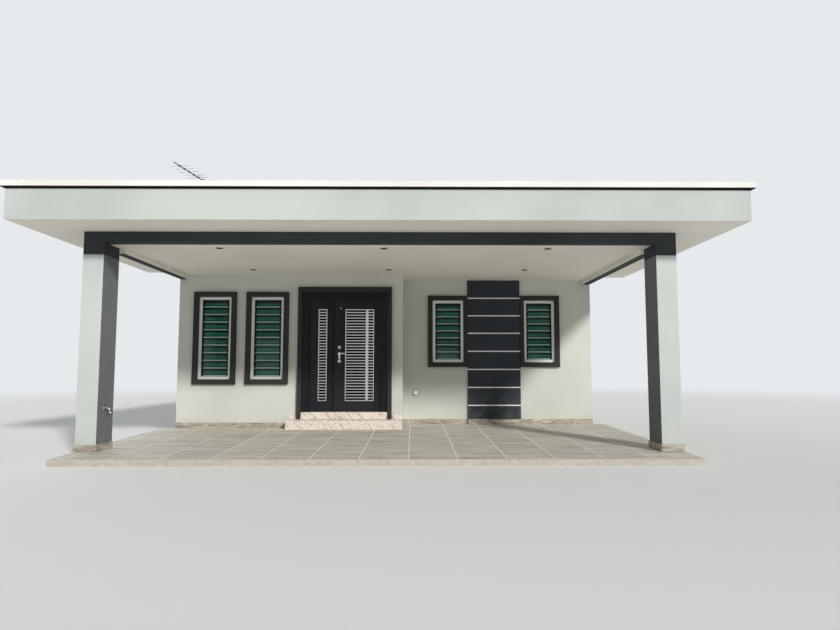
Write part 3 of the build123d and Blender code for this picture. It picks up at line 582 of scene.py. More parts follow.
finishedNodes = [
    (porchTile, ["porch_floor"]),
    (roomTile, ["house_floor"]),
    (columnPaint, ["porch_columns"]),
    (beamPaint, ["porch_beams"]),
    (slabFinish, ["porch_roof_slab", "return_roof_slabs"]),
    (parapetPaint, ["parapet_front", "parapet_sides", "parapet_returns"]),
    (copingPaint, ["porch_coping"]),
    (ceilingPaint, ["porch_ceiling", "house_ceiling", "eaves_soffit"]),
    (wallPaint, ["bay_wall_left", "bay_wall_right", "bay_wall_head", "bay_return_wall"]),
    (wallPaint, ["front_wall_right", "left_wall", "right_wall", "rear_wall"]),
    (panelPaint, ["feature_panel"]),
    (surroundPaint, ["window_surrounds", "door_surround_jambs", "door_surround_head"]),
    (whiteAluminium, ["window_frames"]),
    (louvreGlass, ["window_glass"]),
    (granite, ["door_step", "door_sill"]),
    (doorSteel, ["door_frame_jambs", "door_frame_head", "door_leaf_large", "door_leaf_small"]),
    (dustySteel, ["door_grille_large", "door_grille_small"]),
    (stainless, ["door_fittings_large", "door_fittings_small", "door_hinges"]),
    (skirtingGlaze, ["tile_skirting"]),
    (timber, ["eaves_fascia"]),
    (aerialMetal, ["tv_aerial"]),
    (whitePlastic, ["downlights"]),
    (roofTile, ["roof_slope_left", "roof_slope_right", "roof_hip_ends", "ridge_and_hip_caps"]),
]
for finish, nodeNames in finishedNodes:
    for nodeName in nodeNames:
        mesh = nodes[nodeName].data
        mesh.materials.clear()
        mesh.materials.append(finish)
print("finishes on", sum(len(nodeNames) for finish, nodeNames in finishedNodes), "nodes")

# Plaster arrises and cast edges are never knife sharp
softEdges = [
    (0.008, ["porch_coping"]),
    (0.006, ["porch_columns", "parapet_front", "parapet_sides", "door_step", "door_sill"]),
    (0.005, ["porch_beams", "feature_panel", "window_surrounds"]),
    (0.005, ["door_surround_jambs", "door_surround_head"]),
    (0.002, ["window_frames", "door_frame_jambs", "door_frame_head", "tile_skirting"]),
    (0.0015, ["door_grille_large", "door_grille_small", "door_fittings_large"]),
]
sameCorner = 0.00005
sharpFromDeg = 40
for width, nodeNames in softEdges:
    for nodeName in nodeNames:
        weld = nodes[nodeName].modifiers.new("weld", "WELD")
        weld.merge_threshold = sameCorner
        bevel = nodes[nodeName].modifiers.new("softEdge", "BEVEL")
        bevel.width = width
        bevel.segments = 2
        bevel.limit_method = "ANGLE"
        bevel.angle_limit = math.radians(sharpFromDeg)
        bevel.use_clamp_overlap = True
        bevel.harden_normals = False
print("edges softened")


# Shared mesh work

sideWay, rearWay, upWay = Vector((1, 0, 0)), Vector((0, 1, 0)), Vector((0, 0, 1))


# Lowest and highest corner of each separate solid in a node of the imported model
def solidsOf(nodeName):
    mesh = nodes[nodeName].data
    places = {}
    groupOf = [places.setdefault(tuple(round(c, 4) for c in v.co), len(places)) for v in mesh.vertices]
    parent = list(range(len(places)))

    def root(i):
        while parent[i] != i:
            parent[i] = parent[parent[i]]
            i = parent[i]
        return i

    for polygon in mesh.polygons:
        corners = [groupOf[i] for i in polygon.vertices]
        for other in corners[1:]:
            parent[root(other)] = root(corners[0])
    boxes = {}
    for place, index in places.items():
        box = boxes.setdefault(root(index), [list(place), list(place)])
        for axis in range(3):
            box[0][axis] = min(box[0][axis], place[axis])
            box[1][axis] = max(box[1][axis], place[axis])
    return [(Vector(low), Vector(high)) for low, high in boxes.values()]


# A straight bar: outline points (side, up) carried from origin along a vector
def addBar(bm, outline, origin, along, side, up, finish=0):
    starts = [bm.verts.new(origin + side * s + up * h) for s, h in outline]
    ends = [bm.verts.new(origin + along + side * s + up * h) for s, h in outline]
    made = []
    for i in range(len(outline)):
        following = (i + 1) % len(outline)
        made.append(bm.faces.new([starts[i], starts[following], ends[following], ends[i]]))
    made += [bm.faces.new(starts[::-1]), bm.faces.new(ends)]
    for face in made:
        face.material_index = finish
    return made


def chamferedOutline(width, height, cut):
    half, level = width / 2, height / 2
    right = [(half - cut, -level), (half, cut - level), (half, level - cut), (half - cut, level)]
    return right + [(-s, h) for s, h in right[::-1]]


# A block given by its limits, with chamfers along the edges that run along axis x, y or z
def addBlock(bm, low, high, axis, cut=0.001, finish=0):
    low, high = Vector(low), Vector(high)
    run, first, second = {"x": (0, 1, 2), "y": (1, 0, 2), "z": (2, 0, 1)}[axis]
    ways = (sideWay, rearWay, upWay)
    size = high - low
    along = ways[run] * size[run]
    outline = chamferedOutline(size[first], size[second], cut)
    addBar(bm, outline, (low + high - along) / 2, along, ways[first], ways[second], finish)


# Faces between two rings of points; a ring of one point is a tip
def joinRings(bm, ring, following, finish=0, smooth=True):
    count = max(len(ring), len(following))
    for i in range(count):
        n = (i + 1) % count
        near = [ring[i % len(ring)], ring[n % len(ring)]]
        far = [following[n % len(following)], following[i % len(following)]]
        face = bm.faces.new(list(dict.fromkeys(near + far)))
        face.material_index = finish
        face.smooth = smooth


def roundRing(bm, centre, first, second, radius, sides):
    turns = [2 * math.pi * k / sides for k in range(sides)]
    return [bm.verts.new(centre + (first * math.cos(t) + second * math.sin(t)) * radius) for t in turns]


# A rectangular moulding with mitred corners; outline points are (inset from the outer edge, height)
def addMitredRing(bm, lowPair, highPair, outline, place):
    rings = []
    for inset, height in outline:
        low = [limit + inset for limit in lowPair]
        high = [limit - inset for limit in highPair]
        corners = ((low[0], low[1]), (high[0], low[1]), (high[0], high[1]), (low[0], high[1]))
        rings.append([bm.verts.new(place(a, b, height)) for a, b in corners])
    for i, ring in enumerate(rings):
        joinRings(bm, ring, rings[(i + 1) % len(rings)], 0, False)


# A round piece turned about an axis; outline points are (radius, distance along the axis)
def addTurned(bm, outline, centre, axis, finishes=None, sides=24):
    axis = Vector(axis).normalized()
    first = axis.orthogonal().normalized()
    second = axis.cross(first)
    rings = []
    for radius, distance in outline:
        middle = centre + axis * distance
        if radius:
            rings.append(roundRing(bm, middle, first, second, radius, sides))
        else:
            rings.append([bm.verts.new(middle)])
    for i, ring in enumerate(rings[:-1]):
        joinRings(bm, ring, rings[i + 1], finishes[i] if finishes else 0)


# A round bar through points
def addTube(bm, points, radius, finish=0, sides=16):
    points = [Vector(p) for p in points]
    rings = []
    side = (points[1] - points[0]).orthogonal()
    for i, point in enumerate(points):
        direction = (points[min(i + 1, len(points) - 1)] - points[max(i - 1, 0)]).normalized()
        side = (side - direction * side.dot(direction)).normalized()
        rings.append(roundRing(bm, point, side, direction.cross(side), radius, sides))
    for i, ring in enumerate(rings[:-1]):
        joinRings(bm, ring, rings[i + 1], finish)
    for ring in (rings[0], rings[-1]):
        bm.faces.new(ring).material_index = finish


def makePiece(name, bm, finishes, body="house", stands=()):
    bmesh.ops.recalc_face_normals(bm, faces=bm.faces)
    mesh = bpy.data.meshes.new(name)
    bm.to_mesh(mesh)
    bm.free()
    piece = bpy.data.objects.new(name, mesh)
    bpy.context.scene.collection.objects.link(piece)
    for finish in finishes:
        mesh.materials.append(finish)
    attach(piece, body)
    if stands:
        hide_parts(*stands)
    return piece


# Louvre windows

louvre = {
    "pitch": 0.137,  # distance from blade to blade
    "overlap": 0.016,
    "thickness": 0.006,
    "lean": 0.011,  # each blade's lower edge stands this far out, its upper edge this far in
    "edgeBand": 0.022,  # the 6 mm ground edge, drawn wider with a painted highlight of the light that it spreads, so that it shows
    "doubledBand": 0.016,  # the next blade's top shows dark through the glass here
    "shadeBand": 0.058,  # in the shade of the blade above
    "cut": 0.001,
    "play": 0.002,  # between a blade and the channels
    "channelWidth": 0.015,
    "channelDepth": 0.040,
    "channelWeb": 0.004,
    "channelLip": 0.003,
    "clipLength": 0.020,
    "clipThickness": 0.016,
    "clipShare": 0.86,  # of the blade's height
    "clipCut": 0.003,
    "beadWidth": 0.010,
    "beadHeight": 0.006,
    "beadFace": 0.030,  # the frame's face, from the middle of the glass
    "beadSeat": 0.004,  # how deep the bead sits in the frame
    "beadCut": 0.002,
}
bandFinishes = [1, 2, 0, 2]  # bright edge with a painted highlight, doubled glass, clear glass, painted shade, from the bottom up


# Along-wall axis, outward direction, limits along the wall, and the way to turn (along, out, up) into a
# point
def paneFrame(low, high):
    middle = (low + high) / 2
    if high.y - low.y < high.x - low.x:
        out = rearWay * (-1 if middle.y < 0 else 1)
        return sideWay, out, (low.x, high.x), lambda a, o, z: Vector((a, middle.y + out.y * o, z))
    out = sideWay * (-1 if middle.x < 0 else 1)
    return rearWay, out, (low.y, high.y), lambda a, o, z: Vector((middle.x + out.x * o, a, z))


# One blade between the side channels, its glass banded by what lies behind it, by painted shade and by a
# painted highlight
def addBlade(bm, lowEdge, rise, length, run):
    half, thin, cut = length / 2, louvre["thickness"] / 2, louvre["cut"]
    band = louvre["edgeBand"] - half
    levels = [cut - half, band, band + louvre["doubledBand"], half - louvre["shadeBand"], half - cut]
    outline = [(cut - thin, -half), (thin - cut, -half)] + [(thin, level) for level in levels]
    outline += [(thin - cut, half), (cut - thin, half)] + [(-thin, level) for level in levels[::-1]]
    face = run.normalized().cross(rise)
    made = addBar(bm, outline, lowEdge + rise * half, run, face, rise)
    for part, finish in zip(made, [1, 1, *bandFinishes, 2, 2, 2, *bandFinishes[::-1], 1]):
        part.material_index = finish


# Blades from the bottom up, each held by a clip at both ends
def fillPane(blades, clips, low, high):
    along, _, (start, end), place = paneFrame(low, high)
    inner = (start + louvre["channelWidth"], end - louvre["channelWidth"])
    count = round((high.z - low.z) / louvre["pitch"])
    pitch = (high.z - low.z) / count
    lean, play, clip = louvre["lean"], louvre["play"], louvre["clipLength"]
    for number in range(count):
        bottom = low.z + number * pitch + play
        top = min(bottom + pitch + louvre["overlap"], high.z - play / 2)
        rise = (place(0, -lean, top) - place(0, lean, bottom)).normalized()
        run = along * (inner[1] - inner[0] - 2 * play)
        addBlade(blades, place(inner[0] + play, lean, bottom), rise, math.hypot(top - bottom, 2 * lean), run)
        clipSize = louvre["clipThickness"], (top - bottom) * louvre["clipShare"]
        outline = chamferedOutline(*clipSize, louvre["clipCut"])
        for clipStart in (inner[0], inner[1] - clip):
            middle = place(clipStart, 0, (top + bottom) / 2)
            addBar(clips, outline, middle, along * clip, along.cross(rise), rise)


# Channels at the sides, a flat strip at the foot and the head
def linePane(bm, low, high):
    along, out, (start, end), place = paneFrame(low, high)
    depth, web, lip = louvre["channelDepth"] / 2, louvre["channelWeb"], louvre["channelLip"]
    for edge, way in ((start, 1), (end, -1)):
        wide, thin = way * louvre["channelWidth"], way * web
        outline = [(0, -depth), (wide, -depth), (wide, lip - depth), (thin, lip - depth)]
        outline += [(thin, depth - lip), (wide, depth - lip), (wide, depth), (0, depth)]
        addBar(bm, outline, place(edge, 0, low.z), upWay * (high.z - low.z), along, out)
    for level, way in ((low.z, 1), (high.z, -1)):
        outline = [(-depth, 0), (depth, 0), (depth, way * web), (-depth, way * web)]
        addBar(bm, outline, place(start + web, 0, level), along * (end - start - 2 * web), out, upWay)


# White bead round the inside of the frame's face, just proud of it
def beadPane(bm, low, high):
    _, _, (start, end), place = paneFrame(low, high)
    width, face, cut = louvre["beadWidth"], louvre["beadFace"], louvre["beadCut"]
    back, front = face - louvre["beadSeat"], face + louvre["beadHeight"]
    outline = [(0, back), (0, front - cut), (cut, front)]
    outline += [(width - 2 * cut, front), (width, face), (width, back)]
    corners = (start - width, low.z - width), (end + width, high.z + width)
    addMitredRing(bm, *corners, outline, lambda a, b, h: place(a, h, b))


panes = solidsOf("window_glass")
blades, channels, beads = bmesh.new(), bmesh.new(), bmesh.new()
for low, high in panes:
    fillPane(blades, channels, low, high)
    linePane(channels, low, high)
    beadPane(beads, low, high)
glazing = [louvreGlass, glassEdgeAndHighlight, doubledAndShadedGlass]
makePiece("louvre_blades", blades, glazing, stands=["window_glass"])
makePiece("louvre_channels", channels, [darkAluminium])
makePiece("window_beads", beads, [whiteAluminium])
print("louvre windows:", len(panes))

# Roof tiles

roofing = {
    "pitchDeg": 22,
    "exposure": 0.314,  # what shows of each course up the slope
    "lap": 0.075,
    "tileWidth": 0.300,
    "rollPitch": 0.150,
    "rollHeight": 0.012,
    "tileThickness": 0.012,
    "sideJoint": 0.004,
    "headSink": 0.026,  # the lapped end of a tile lies this much lower
    "unevenness": 0.0012,
    "tone": (0.45, 0.2),  # mean and spread
    "hipSpare": 0.1,  # tiles are laid this far past a hip and cut there
    "ridgeGap": 0.004,
    "boardThickness": 0.006,
    "filler": ((0.012, -0.034), (0.050, -0.040)),  # its front and back top edge: up the slope, out of it
    "fillerInset": 0.06,
    "steps": 12,  # facets across each tile
}
slopeLow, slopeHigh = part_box("roof_slope_left")
eaveHalf = -slopeLow.x
roofFront, roofRear = slopeLow.y, slopeHigh.y
halfRoofLength = (roofRear - roofFront) / 2
roofMiddleY = (roofFront + roofRear) / 2
eaveLevel = slopeLow.z
roofPitch = math.radians(roofing["pitchDeg"])
rise = math.tan(roofPitch)
coverRise = slopeHigh.z - eaveLevel - eaveHalf * rise  # vertical thickness of the covering
coverDepth = coverRise * math.cos(roofPitch)
reach = eaveHalf / math.cos(roofPitch)
tileRandom = random.Random(4)


def tileShade(mean, spread):
    return min(1, max(0, tileRandom.gauss(mean, spread)))


# A curved tile from four rows of points: top and underside of its low end, then of its high end
def closeTile(bm, rows, tone, shade):
    lowTop, lowUnder, highTop, highUnder = rows
    made = []
    for i in range(len(lowTop) - 1):
        made.append(bm.faces.new([lowTop[i], lowTop[i + 1], highTop[i + 1], highTop[i]]))
        made[-1].smooth = True
        made.append(bm.faces.new([lowUnder[i + 1], lowUnder[i], highUnder[i], highUnder[i + 1]]))
        made.append(bm.faces.new([lowTop[i + 1], lowTop[i], lowUnder[i], lowUnder[i + 1]]))
        made.append(bm.faces.new([highTop[i], highTop[i + 1], highUnder[i + 1], highUnder[i]]))
    made.append(bm.faces.new([lowTop[0], highTop[0], highUnder[0], lowUnder[0]]))
    made.append(bm.faces.new([highTop[-1], lowTop[-1], lowUnder[-1], highUnder[-1]]))
    for face in made:
        face[tone] = shade


# Cuts a slope's mesh along a vertical plane and closes what was cut
def cutAndClose(bm, point, normal):
    everything = bm.verts[:] + bm.edges[:] + bm.faces[:]
    cut = bmesh.ops.bisect_plane(bm, geom=everything, plane_co=point, plane_no=normal, clear_outer=True)
    edges = [e for e in cut["geom_cut"] if isinstance(e, bmesh.types.BMEdge) and e.is_valid and e.is_boundary]
    bmesh.ops.holes_fill(bm, edges=edges, sides=0)


# Boarding under the tiles and a filler behind the eaves edge; place turns (along, up, out) into a point
def boardSlope(bm, halfLength, place, ways):
    under = -coverDepth
    board = under + roofing["boardThickness"]
    crown = halfLength - eaveHalf
    crownPoints = [(crown, reach), (-crown, reach)] if crown > 0.001 else [(0, reach)]
    outline = [(-halfLength, 0), (halfLength, 0)] + crownPoints
    lower = [bm.verts.new(place(u, v, under)) for u, v in outline]
    upper = [bm.verts.new(place(u, v, board)) for u, v in outline]
    made = [bm.faces.new(lower), bm.faces.new(upper)]
    for i in range(len(outline)):
        n = (i + 1) % len(outline)
        made.append(bm.faces.new([lower[i], lower[n], upper[n], upper[i]]))
    (front, frontTop), (back, backTop) = roofing["filler"]
    filler = [(front, board), (back, board), (back, backTop), (front, frontTop)]
    along, upSlope, outOf = ways
    length = 2 * (halfLength - roofing["fillerInset"])
    made += addBar(bm, filler, place(-length / 2, 0, 0), along * length, upSlope, outOf)
    for face in made:
        face.material_index = 1


# One slope: courses of double-roll tiles laid from the eaves up, on boarding
def tiledSlope(eaveMid, along, upSlope, halfLength, cuts):
    bm = bmesh.new()
    tone = bm.faces.layers.float.new("tileTone")
    outOf = along.cross(upSlope).normalized()
    if outOf.z < 0:
        outOf = -outOf
    top = eaveMid + upWay * coverRise

    def place(u, v, out):
        return top + along * u + upSlope * v + outOf * out

    courses = math.ceil(reach / roofing["exposure"])
    exposure = reach / courses
    width, joint, steps = roofing["tileWidth"], roofing["sideJoint"], roofing["steps"]
    roll, turn = roofing["rollHeight"], 2 * math.pi / roofing["rollPitch"]
    for course in range(courses):
        low = course * exposure
        high = min(low + exposure + roofing["lap"], reach)
        hipHalf = halfLength - low * eaveHalf / reach + roofing["hipSpare"]
        for column in range(math.ceil(2 * halfLength / width)):
            start = -halfLength + column * width + (0.5 * width if course % 2 else 0)
            if start + width < -hipHalf or start > hipHalf:
                continue
            lift = tileRandom.uniform(-roofing["unevenness"], roofing["unevenness"])
            shade = tileShade(*roofing["tone"])
            across = [joint / 2 + (width - joint) * i / steps for i in range(steps + 1)]
            rows = []
            for v, middle in ((low, lift - roll), (high, lift - roll - roofing["headSink"])):
                for under in (0, roofing["tileThickness"]):
                    levels = [middle - under + roll * math.cos(turn * u) for u in across]
                    rows.append([bm.verts.new(place(start + u, v, h)) for u, h in zip(across, levels)])
            closeTile(bm, rows, tone, shade)
    for point, normal in cuts:
        cutAndClose(bm, point, normal)
    boardSlope(bm, halfLength, place, (along, upSlope, outOf))
    return bm


# The upright plane between two slopes at a corner of the roof: a point, and the way out of the side slope
def hipCut(sideX, wayY):
    eaveY = roofRear if wayY > 0 else roofFront
    return Vector((sideX * eaveHalf, eaveY, 0)), Vector((-sideX, wayY, 0))


coverings = [roofTile, timber]
leftSlope = (-1, "roof_tiles_left", "roof_slope_left")
rightSlope = (1, "roof_tiles_right", "roof_slope_right")
for sideX, name, slope in (leftSlope, rightSlope):
    eaveMid = Vector((sideX * eaveHalf, roofMiddleY, eaveLevel))
    upSlope = Vector((-sideX * math.cos(roofPitch), 0, math.sin(roofPitch)))
    ridgeCut = (sideWay * sideX * roofing["ridgeGap"], sideWay * -sideX)
    cuts = [hipCut(sideX, -1), hipCut(sideX, 1), ridgeCut]
    bm = tiledSlope(eaveMid, rearWay, upSlope, halfRoofLength, cuts)
    makePiece(name, bm, coverings, stands=[slope])
for wayY, eaveY, name in ((-1, roofFront, "roof_tiles_front"), (1, roofRear, "roof_tiles_rear")):
    upSlope = Vector((0, -wayY * math.cos(roofPitch), math.sin(roofPitch)))
    cuts = [(point, -normal) for point, normal in (hipCut(-1, wayY), hipCut(1, wayY))]
    bm = tiledSlope(Vector((0, eaveY, eaveLevel)), sideWay, upSlope, eaveHalf, cuts)
    makePiece(name, bm, coverings, stands=["roof_hip_ends"])
print("roof tiles laid on 4 slopes")

# Ridge and hip tiles

capping = {
    "length": 0.400,
    "overlap": 0.030,
    "ridgeHalf": 0.125,
    "hipHalf": 0.110,
    "crown": 0.050,  # height over the meeting line of the slopes
    "edge": 0.016,  # height of the side edges over the slopes
    "roundness": 1.7,
    "lift": 0.010,  # the laid-over end stands this much higher
    "thickness": 0.014,
    "undercut": 0.4,  # the underside is narrower by this share of the thickness
    "facets": 10,
    "tone": (0.5, 0.18),  # mean and spread
    "bedInset": 0.012,
    "bedTop": 0.022,
    "bedSide": 0.006,
    "bedShoulder": 0.6,  # share of the half width
    "bedFoot": 0.030,  # below the slopes
    "bedEnd": 0.020,
    "fromCorner": 0.060,  # a hip line starts this far from the corner of the eaves
}


# A line of cap tiles from start to end; drop is how far the slopes fall per metre to each side
def capLine(bm, mortarMesh, start, end, half, drop, tone):
    run = end - start
    direction = run.normalized()
    side = direction.cross(upWay).normalized()
    up = side.cross(direction).normalized()
    count = max(1, round(run.length / capping["length"]))
    length = run.length / count
    edge = capping["edge"] - drop * half
    arch = capping["crown"] - capping["lift"] - edge
    shares = [-1 + 2 * i / capping["facets"] for i in range(capping["facets"] + 1)]
    for number in range(count):
        shade = tileShade(*capping["tone"])
        lowEnd = max(number * length - capping["overlap"], 0)
        rows = []
        for v, lift in ((lowEnd, capping["lift"]), ((number + 1) * length, 0.0)):
            for under in (0, capping["thickness"]):
                row = []
                for share in shares:
                    height = edge + arch * (1 - abs(share) ** capping["roundness"]) + lift - under
                    sideways = share * (half - under * capping["undercut"])
                    row.append(bm.verts.new(start + direction * v + side * sideways + up * height))
                rows.append(row)
        closeTile(bm, rows, tone, shade)
    bed, ends = half - capping["bedInset"], direction * capping["bedEnd"]
    slope, lip = -drop * bed, capping["bedSide"]
    right = [(bed, slope - capping["bedFoot"]), (bed, slope + lip), (bed * capping["bedShoulder"], lip)]
    outline = right + [(0, capping["bedTop"])] + [(-s, h) for s, h in right[::-1]]
    addBar(mortarMesh, outline, start + ends, run - ends * 2, side, up)


caps, bedding = bmesh.new(), bmesh.new()
capTone = caps.faces.layers.float.new("tileTone")
ridgeLevel = eaveLevel + coverRise + eaveHalf * rise
ridgeEnds = [Vector((0, roofMiddleY + way * (halfRoofLength - eaveHalf), ridgeLevel)) for way in (-1, 1)]
capLine(caps, bedding, *ridgeEnds, capping["ridgeHalf"], rise, capTone)
for sideX in (-1, 1):
    for ridgeEnd, eaveY in zip(ridgeEnds, (roofFront, roofRear)):
        corner = Vector((sideX * eaveHalf, eaveY, eaveLevel + coverRise))
        foot = corner + (ridgeEnd - corner).normalized() * capping["fromCorner"]
        capLine(caps, bedding, foot, ridgeEnd, capping["hipHalf"], rise / math.sqrt(2), capTone)
makePiece("ridge_and_hip_tiles", caps, [roofTile], stands=["ridge_and_hip_caps"])
makePiece("ridge_bedding", bedding, [mortar])
print("ridge and hips capped")

# Front door mouldings

door = {
    "trim": 0.012,  # black gasket round each grille: a painted shadow gap
    "trimProud": 0.003,
    "trimGap": 0.002,
    "sheet": (0.0008, 0.0002),  # the backing sheet before and behind the pocket's back
    "sheetPast": 0.0015,
    "rib": 0.012,  # pressed ribs up the full height of the leaves
    "ribProud": 0.003,
    "ribCut": 0.0025,
    "smallRibs": (-1.088, -1.052),
    "largeRibs": (-0.985, -0.858, -0.232),
    "beadWidth": 0.014,  # one bead on each stepped band of the frame
    "beadProud": 0.004,
    "beadCut": 0.003,
    "bands": 3,
    "bandWidth": 0.040,
    "bandStep": 0.012,
    "endGap": 0.004,
    "seat": 0.001,  # how deep ribs, beads and gaskets sit in the steel
}


# Gasket round a grille as a painted shadow gap, black sheet behind its bars, ribs on the leaf's outer face
def dressLeaf(leafNode, grilleNode, ribs):
    backing, pressed = bmesh.new(), bmesh.new()
    low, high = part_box(leafNode)
    grilleLow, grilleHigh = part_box(grilleNode)
    pocket, past = grilleHigh.y, door["sheetPast"]
    before, behind = door["sheet"]
    sheetLow = (grilleLow.x - past, pocket - before, grilleLow.z - past)
    addBlock(backing, sheetLow, (grilleHigh.x + past, pocket + behind, grilleHigh.z + past), "z", 0.0002)
    spread = door["trimGap"] + door["trim"]
    lowPair = (grilleLow.x - spread, grilleLow.z - spread)
    highPair = (grilleHigh.x + spread, grilleHigh.z + spread)
    proud, wide, seat = door["trimProud"], door["trim"], door["seat"]
    outline = [(0, -seat), (0, proud - 0.001), (0.001, proud)]
    outline += [(wide - 0.002, proud), (wide, proud - 0.002), (wide, -seat)]
    addMitredRing(backing, lowPair, highPair, outline, lambda a, b, h: Vector((a, low.y - h, b)))
    half, gap = door["rib"] / 2, door["endGap"]
    for middle in ribs:
        ribLow = (middle - half, low.y - door["ribProud"], low.z + gap)
        addBlock(pressed, ribLow, (middle + half, low.y + seat, high.z - gap), "z", door["ribCut"])
    return backing, pressed


backing, pressed = dressLeaf("door_leaf_large", "door_grille_large", door["largeRibs"])
makePiece("large_grille_backing", backing, [blackSheet], "large_leaf")
makePiece("large_leaf_ribs", pressed, [doorSteel], "large_leaf")
backing, pressed = dressLeaf("door_leaf_small", "door_grille_small", door["smallRibs"])
makePiece("small_grille_backing", backing, [blackSheet], "small_leaf")
makePiece("small_leaf_ribs", pressed, [doorSteel], "small_leaf")

bm = bmesh.new()
frameLow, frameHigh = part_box("door_frame_jambs")
bead, cut, lapped = door["beadWidth"] / 2, door["beadCut"], 0.002
for band in range(door["bands"]):
    inset = (band + 0.5) * door["bandWidth"]
    face = frameLow.y + band * door["bandStep"]
    front, back = face - door["beadProud"], face + door["seat"]
    left, right, head = frameLow.x + inset, frameHigh.x - inset, frameHigh.z - inset
    for middle in (left, right):
        beadLow = (middle - bead, front, frameLow.z + door["endGap"])
        addBlock(bm, beadLow, (middle + bead, back, head + bead), "z", cut)
    beadLow = (left + bead - lapped, front, head - bead)
    addBlock(bm, beadLow, (right - bead + lapped, back, head + bead), "x", cut)
makePiece("door_frame_beads", bm, [doorSteel])
print("door leaves and frame moulded")

# Lock

lock = {
    "x": -0.910,
    "lever": 1.445,
    "roses": (1.557, 1.311),
    "roseFace": 0.008,  # how far the roses stand from the leaf
    "roseSize": 0.021,
    "ring": 0.017,
    "hole": 0.012,
    "plate": ((-0.923, -0.897), (1.352, 1.424)),
    "plateFace": 0.007,
    "grip": 0.0115,
    "gripFoot": (0.008, 0.004),  # radius and length of its rounded foot, then of its tip
    "gripTip": (0.007, 0.006),
    "gripStart": (-0.006, 0),  # from the lock's middle: sideways, up
    "gripEnd": (-0.812, 0.003),
    "gripOut": 0.046,
}
bm = bmesh.new()
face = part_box("door_leaf_large")[0].y
size, ring, hole = lock["roseSize"], lock["ring"], lock["hole"]
outline = [(0, -0.001), (size, -0.001), (size, 0.001), (size - 0.002, 0.003)]
outline += [(ring, 0.003), (hole, 0.0012), (0, 0.0012)]
for level in lock["roses"]:
    centre = Vector((lock["x"], face - lock["roseFace"], level))
    addTurned(bm, outline, centre, (0, -1, 0), [0, 0, 0, 0, 0, 1])
(plateLeft, plateRight), (footLevel, headLevel) = lock["plate"]
plateLow = (plateLeft, face - lock["plateFace"], footLevel)
addBlock(bm, plateLow, (plateRight, face + 0.0005, headLevel), "z", 0.003)
sideways, up = lock["gripStart"]
grip = Vector((lock["x"] + sideways, face - lock["gripOut"], lock["lever"] + up))
gripWay = Vector((lock["gripEnd"][0], grip.y, grip.z + lock["gripEnd"][1])) - grip
length = gripWay.length
(footRadius, footLength), (tipRadius, tipLength) = lock["gripFoot"], lock["gripTip"]
outline = [(0, 0), (footRadius, 0), (lock["grip"], footLength)]
outline += [(lock["grip"], length - tipLength), (tipRadius, length), (0, length)]
addTurned(bm, outline, grip, gripWay, None, 20)
makePiece("lock_fittings", bm, [stainless, blackPlastic], "large_leaf")
print("lock fitted")

# Shadow strip under the coping: painted shadow

edging = {"depth": 0.018, "proud": 0.006, "seat": 0.004}  # near-black strip under the coping: a painted shadow
bm = bmesh.new()
proud, seat = edging["proud"], edging["seat"]
(_, frontY, _), (sideX, _, stripTop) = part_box("parapet_front")
stripFoot = stripTop - edging["depth"]
sideRear = {-1 if low.x < 0 else 1: high.y for low, high in solidsOf("parapet_sides")}
addBlock(bm, (-sideX - proud, frontY - proud, stripFoot), (sideX + proud, frontY + seat, stripTop), "x")
for way in (-1, 1):
    left, right = sorted((way * (sideX + proud), way * (sideX - seat)))
    addBlock(bm, (left, frontY, stripFoot), (right, sideRear[way], stripTop), "y")
makePiece("coping_shadow_strip", bm, [copingShadowFinish])
print("drip strip under the coping")

# Step skirting

stepSkirting = {"height": 0.072, "thickness": 0.012, "gap": 0.002, "cut": 0.002}
bm = bmesh.new()
(stepLeft, _, _), (stepRight, _, stepTop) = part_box("door_step")
surroundLow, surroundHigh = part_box("door_surround_jambs")
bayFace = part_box("bay_wall_left")[0].y
gap = stepSkirting["gap"]
for start, end in ((stepLeft, surroundLow.x - gap), (surroundHigh.x + gap, stepRight)):
    stripLow = (start, bayFace - stepSkirting["thickness"], stepTop)
    stripHigh = (end, bayFace, stepTop + stepSkirting["height"])
    addBlock(bm, stripLow, stripHigh, "x", stepSkirting["cut"])
makePiece("step_skirting", bm, [granite])
print("stone strips on the step")

# Feature panel strips

panelStrips = {
    "levels": (2.507, 2.174, 1.843, 1.504, 1.165, 0.829, 0.497),
    "height": 0.020,
    "proud": 0.004,
    "past": 0.002,  # past each side of the panel
    "cut": 0.0015,
    "joint": 0.006,  # dark band above and below each strip: painted shade of its groove
    "jointProud": 0.001,
    "jointCut": 0.0005,
    "seat": 0.010,
}
panelLow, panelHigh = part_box("feature_panel")
strips, grooveShades = bmesh.new(), bmesh.new()
half = panelStrips["height"] / 2
stripLook = (strips, half, panelStrips["proud"], panelStrips["past"], panelStrips["cut"])
jointProud = panelStrips["jointProud"]
grooveShadeLook = (grooveShades, half + panelStrips["joint"], jointProud, jointProud, panelStrips["jointCut"])
for level in panelStrips["levels"]:
    for bm, high, proud, past, cut in (stripLook, grooveShadeLook):
        lowCorner = (panelLow.x - past, panelLow.y - proud, level - high)
        highCorner = (panelHigh.x + past, panelLow.y + panelStrips["seat"], level + high)
        addBlock(bm, lowCorner, highCorner, "x", cut)
makePiece("panel_strips", strips, [inlayPaint])
makePiece("panel_groove_shades", grooveShades, [darkAluminium])
print("feature panel lined")

# Downlights

